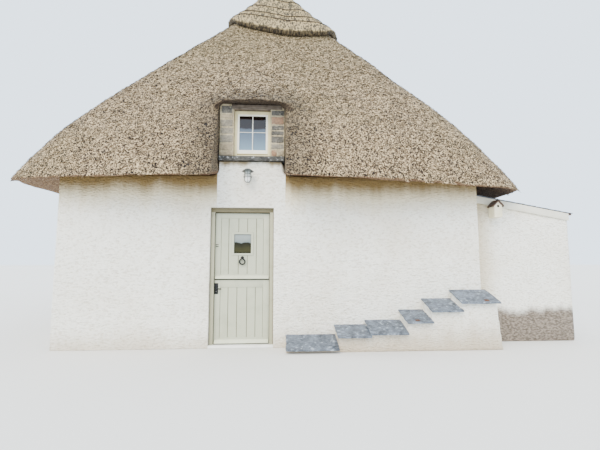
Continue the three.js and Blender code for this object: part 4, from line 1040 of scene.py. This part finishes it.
def buildHandle():
    f = furniture
    x, z = f["lever"]
    x0, x1, z0, z1 = f["plate"]
    face, (slit, hole), (foot, eye) = f["face"], f["keyWidth"], f["keyhole"]
    back = eased(addBox("handlePlate", (x0, face - f["plateThick"], z0), (x1, face, z1)), f["arris"])
    cutBy(back, addRod("cutter", hole, (x, -4.4, eye), (x, -4.3, eye), 16))
    cutBy(back, addBox("cutter", (x - slit, -4.4, foot), (x + slit, -4.3, eye)))
    radius, thick = f["screw"]
    screws = [eased(addRod("screw", radius, (x, face, h), (x, face - thick, h), 16), 0.001)
        for h in f["screws"]]
    radius, end = f["leverRose"]
    rose = eased(addRod("rose", radius, (x, face, z), (x, end, z), 28), 0.002)
    plate = joinedUp("handlePlate", [back, rose] + screws)
    finished(plate, japannedIron, "lower_door", ("latch_plate",))
    radius, start, end = f["spindle"]
    spindle = eased(addRod("spindle", radius, (x, start, z), (x, end, z), 24), 0.002)
    low, high, half = f["arm"]
    arm = addBox("arm", (x - 0.004, low, z - half), (f["leverEnd"], high, z + half))
    applied(arm, "SUBSURF", levels=1, render_levels=1, subdivision_type="SIMPLE")
    editFaces(arm, lambda c, n: n.x > 0.9)  # its end is slimmer and droops
    bpy.ops.transform.resize(value=(1, 0.8, 0.8))
    bpy.ops.transform.translate(value=(0, 0.002, -0.002))
    doneEditing()
    handle = joinedUp("leverHandle", [spindle, eased(arm, 0.003, 3)])
    finished(handle, japannedIron, "lever", ("latch_lever",))


def buildNightLatch():
    f = furniture
    latch = eased(addBox("latchPlate", *f["latch"]), 0.002)
    finished(latch, sagePaint, "upper_door")
    x0, x1, high = f["slot"]
    slots = [eased(addBox("slot", (x0, -4.3885, h), (x1, -4.385, h + high)), 0.001) for h in f["slots"]]
    finished(joinedUp("latchSlots", slots), japannedIron, "upper_door")


buildLeaf("upper", "upper_door", "door_upper_leaf")
buildLeaf("lower", "lower_door", "door_lower_leaf")
buildDoorFrame()
buildKnocker()
buildHandle()
buildNightLatch()
print("door ready")

# Lantern: spun galvanised hood on a short arm, clear jar, and a guard of wires on a ring
lantern = {
    "x": -0.405, "y": -4.6203, "wall": -4.5003, "rim": 2.62, "top": 2.662, "rimRadius": 0.093,
    "collar": 0.046, "collarFoot": 2.568, "collarRoll": 0.004, "jar": 0.04, "jarFoot": 2.456,
    "guard": 0.06, "guardAt": 2.536, "wire": 0.0028, "ringWire": 0.0053, "wires": 6, "firstWire": 30,
    "wireTop": 0.052, "wireFoot": ((0.052, 2.486), (0.03, 2.458), (0.004, 2.4495)),  # radius and height
    "armAt": 2.648, "arm": 0.009, "plate": (0.045, 0.012), "screw": (0.005, 0.015), "screwAside": 0.03,
    "jarSteps": ((0.9, 0.012), (0.72, 0.011), (0.45, 0.006)),  # how much slimmer and lower each round is
}


def buildLantern():
    l = lantern
    x, y, wall, level = l["x"], l["y"], l["wall"], l["armAt"]
    hood = addRod("hood", l["rimRadius"], (x, y, l["rim"]), (x, y, l["top"] - 0.008), 40, l["collar"])
    editFaces(hood, lambda c, n: n.z > 0.9)
    for thickness in (0.006, 0.022):  # two low steps on top
        bpy.ops.mesh.inset(thickness=thickness)
        bpy.ops.transform.translate(value=(0, 0, 0.004))
    doneEditing()
    editFaces(hood, lambda c, n: n.z < -0.9)  # a rim, and the hollow under it
    bpy.ops.mesh.inset(thickness=0.004)
    bpy.ops.mesh.inset(thickness=0.04)
    bpy.ops.transform.translate(value=(0, 0, 0.02))
    doneEditing()
    eased(hood, 0.0015, 2, 40)
    collar = addRod("lanternCollar", l["collar"], (x, y, l["collarFoot"]), (x, y, l["rim"] + 0.012), 40)
    eased(collar, 0.003)
    rings = []
    for z, radius, wire in ((l["collarFoot"] + 0.016, l["collar"], l["collarRoll"]),
            (l["guardAt"], l["guard"], l["ringWire"])):
        deselectAll()
        bpy.ops.mesh.primitive_torus_add(major_radius=radius, minor_radius=wire, major_segments=40,
            minor_segments=8, location=(x, y, z))
        rings.append(settle(named("ring")))
    stops = [(l["wireTop"], l["rim"] - 0.004), (l["guard"], l["guardAt"]), *l["wireFoot"]]
    wires = []
    for i in range(l["wires"]):
        a = math.radians(l["firstWire"] + 360 / l["wires"] * i)
        across = Vector((math.cos(a), math.sin(a), 0))
        points = [Vector((x, y, 0)) + across * r + Vector((0, 0, z)) for r, z in stops]
        wires += [addRod("wire", l["wire"], p, q, 8) for p, q in zip(points, points[1:])]
    radius, thick = l["plate"]
    plate = eased(addRod("plate", radius, (x, wall, level), (x, wall - thick, level), 32), 0.003)
    arm = addRod("arm", l["arm"], (x, wall - 0.01, level), (x, y + 0.02, level), 20)
    radius, thick = l["screw"]
    screws = []
    for place in (x - l["screwAside"], x + l["screwAside"]):
        screw = addRod("screw", radius, (place, wall - 0.01, level), (place, wall - thick, level), 12)
        screws.append(eased(screw, 0.001))
    finished(collar, brightZinc)
    body = joinedUp("lanternBody", [hood] + rings + wires + [plate, arm] + screws)
    # the body's zinc is darkened as painted shade under the hood
    finished(body, galvanised, stands=("lantern_body",))
    jar = addRod("lanternJar", l["jar"], (x, y, l["jarFoot"] + 0.03), (x, y, l["collarFoot"] + 0.004), 32)
    editFaces(jar, lambda c, n: n.z < -0.9)
    for scale, drop in l["jarSteps"]:
        bpy.ops.mesh.extrude_region_move(TRANSFORM_OT_translate={"value": (0, 0, -drop)})
        bpy.ops.transform.resize(value=(scale, scale, 1))
    doneEditing()
    finished(jar, lampGlass, stands=("lantern_glass",))


buildLantern()
print("lantern ready")

# Lean-to roof: courses of slate with ragged ends over a boarded deck, behind white verge boards
leanTo = {
    "left": 3.235, "eave": 4.934, "front": -4.33, "back": 0.93, "topAt": 4.025, "topHeight": 2.232,
    "pitch": 0.18, "tilt": 0.022, "drop": 0.014, "setIn": 0.02, "slateLong": 0.36, "slateWide": 0.25,
    "gap": 0.001, "course": 0.21, "thick": 0.007, "chip": 0.06, "chipDepth": 0.012, "cleft": 0.08,
    "cleftDepth": 0.003, "boardArris": 0.003,
}


def buildLeanToRoof():
    r = leanTo
    deck = copyOfNodes("leanToDeck", "lean_to_roof")
    activate(deck)
    bpy.ops.transform.translate(value=(0, 0, -r["drop"]))
    settle(deck)
    cutBy(deck, addBox("cutter", (r["eave"] - r["setIn"], -5, 1), (6, 2, 3)))
    cutBy(deck, addBox("cutter", (3, r["front"] - 0.5, 1), (6, r["front"] + r["setIn"], 3)))
    cutBy(deck, addBox("cutter", (3, r["back"] - r["setIn"], 1), (6, r["back"] + 0.5, 3)))
    finished(deck, stainedBoards, stands=("lean_to_roof",))
    half, thick = r["slateWide"] / 2, r["thick"]
    pattern = addBox("slate", (-r["slateLong"], -half + r["gap"], 0), (0, half - r["gap"], thick))
    subdivided(pattern, 2)
    tilt = math.atan(r["pitch"]) - r["tilt"]
    courses = int((r["eave"] - r["left"]) / r["course"])
    count = int((r["back"] - r["front"]) / r["slateWide"]) + 1
    slates = []
    for i in range(courses + 1):
        lower = r["eave"] - i * r["course"]
        z = r["topHeight"] - r["pitch"] * (lower - r["topAt"]) - 0.003
        for k in range(count + (i % 2)):
            y = r["front"] + half + k * r["slateWide"] - (i % 2) * r["slateWide"] / 2
            slate = copied(pattern)
            nudge = Vector((dice.uniform(-0.008, 0), dice.uniform(-0.002, 0.002), dice.uniform(-0.002, 0)))
            slate.data.transform(Matrix.Translation(Vector((lower, y, z - thick)) + nudge)
                @ Matrix.Rotation(tilt, 4, "Y") @ Matrix.Rotation(dice.uniform(-0.012, 0.012), 4, "Z"))
            slates.append(slate)
    bpy.data.objects.remove(pattern)
    roof = joinedUp("leanToSlates", slates)
    for plane, away in (((0, r["front"] + 0.001, 0), (0, -1, 0)), ((0, r["back"] - 0.001, 0), (0, 1, 0)),
            ((r["left"], 0, 0), (-1, 0, 0))):
        bpy.ops.object.mode_set(mode="EDIT")
        bpy.ops.mesh.select_all(action="SELECT")
        bpy.ops.mesh.bisect(plane_co=plane, plane_no=away, clear_outer=True, use_fill=True)
        doneEditing()
    roughened(roof, r["chip"], r["chipDepth"], direction="Y")
    roughened(roof, r["cleft"], r["cleftDepth"], 0.8)
    finished(roof, roofSlate, smooth=25)
    for side in ("front", "back"):
        node = "lean_to_verge_board_" + side
        board = eased(copyOfNodes(side + "VergeBoard", node), r["boardArris"])
        finished(board, greyedPaint, stands=(node,))


# Bird box: painted softwood boards, a drilled hole and a roof of two stained boards under a rounded strip
birdBox = {
    "x": 3.55, "innerHalf": 0.0605, "innerY": (-4.4935, -4.335), "innerZ": (1.98, 2.21), "arris": 0.0015,
    "strip": 0.006, "stripY": (-4.5135, -4.33), "stripZ": 2.244,
}


def buildBirdBox():
    b = birdBox
    x, z, arris = b["x"], b["stripZ"], b["arris"]
    case = eased(copyOfNodes("birdBoxCase", "bird_box"), arris, 1, 50)
    # the faces inside the box take painted shade
    paintFaces(case, (creamPaint, bareSoftwood), lambda c, n: abs(c.x - x) < b["innerHalf"]
        and b["innerY"][0] < c.y < b["innerY"][1] and b["innerZ"][0] < c.z < b["innerZ"][1])
    finished(case, None, stands=("bird_box",))
    roof = copyOfNodes("birdBoxRoof", "bird_box_roof")
    start, end = b["stripY"]
    strip = addRod("ridgeStrip", b["strip"], (x, start, z), (x, end, z), 12)
    finished(joinedUp("birdBoxRoof", [eased(roof, arris), strip]), stainedBoards, stands=("bird_box_roof",))


buildLeanToRoof()
buildBirdBox()
print("lean-to ready")

# Floors and panes keep the CAD's own shape
plainPieces = {
    "ground_floor": flagstones, "loft_floor": loftBoards, "front_window_glass": highWindowGlass,
    "back_window_glass": highWindowGlass, "left_window_glass": lowWindowGlass, "door_glass": doorLightGlass,
}
for name, material in plainPieces.items():
    nodes[name].data.materials.clear()
    nodes[name].data.materials.append(material)

# Floor, light and camera: a wide soft sun stands behind the camera and to its left
studio = {
    "floor": "#e2e0db", "floorSize": 160, "floorZ": -0.002, "sky": "#d9e8f8", "skyStrength": 3.2, "sun": 4.2,
    "sunSize": 40, "sunTurn": (48, -14, -12), "sunlight": "#fff0d9",
}


def setStudio():
    deselectAll()
    bpy.ops.mesh.primitive_plane_add(size=studio["floorSize"], location=(0, 0, studio["floorZ"]))
    floor = named("studioFloor")
    floor.data.materials.append(newMaterial("studioFloorPaint", 0.9, colour=studio["floor"])[0])
    world = bpy.data.worlds.new("studioSky")
    world.use_nodes = True
    background = world.node_tree.nodes["Background"]
    background.inputs["Color"].default_value = linear(studio["sky"])
    background.inputs["Strength"].default_value = studio["skyStrength"]
    scene.world = world
    deselectAll()
    bpy.ops.object.light_add(type="SUN", rotation=[math.radians(a) for a in studio["sunTurn"]])
    sun = bpy.context.object
    sun.name = "softSun"
    sun.data.energy = studio["sun"]
    sun.data.color = linear(studio["sunlight"])[:3]
    sun.data.angle = math.radians(studio["sunSize"])


view = {
    "place": (0.057, -10.133, 1.301), "tiltUp": 5.324, "turn": -3.385, "lens": 22.2, "film": 36, "far": 400,
}


def setCamera():
    deselectAll()
    bpy.ops.object.camera_add(location=view["place"],
        rotation=(math.radians(90 + view["tiltUp"]), 0, math.radians(view["turn"])))
    camera = bpy.context.object
    camera.data.lens = view["lens"]
    camera.data.sensor_width = view["film"]
    camera.data.clip_end = view["far"]
    scene.camera = camera


setStudio()
setCamera()
print("studio ready")
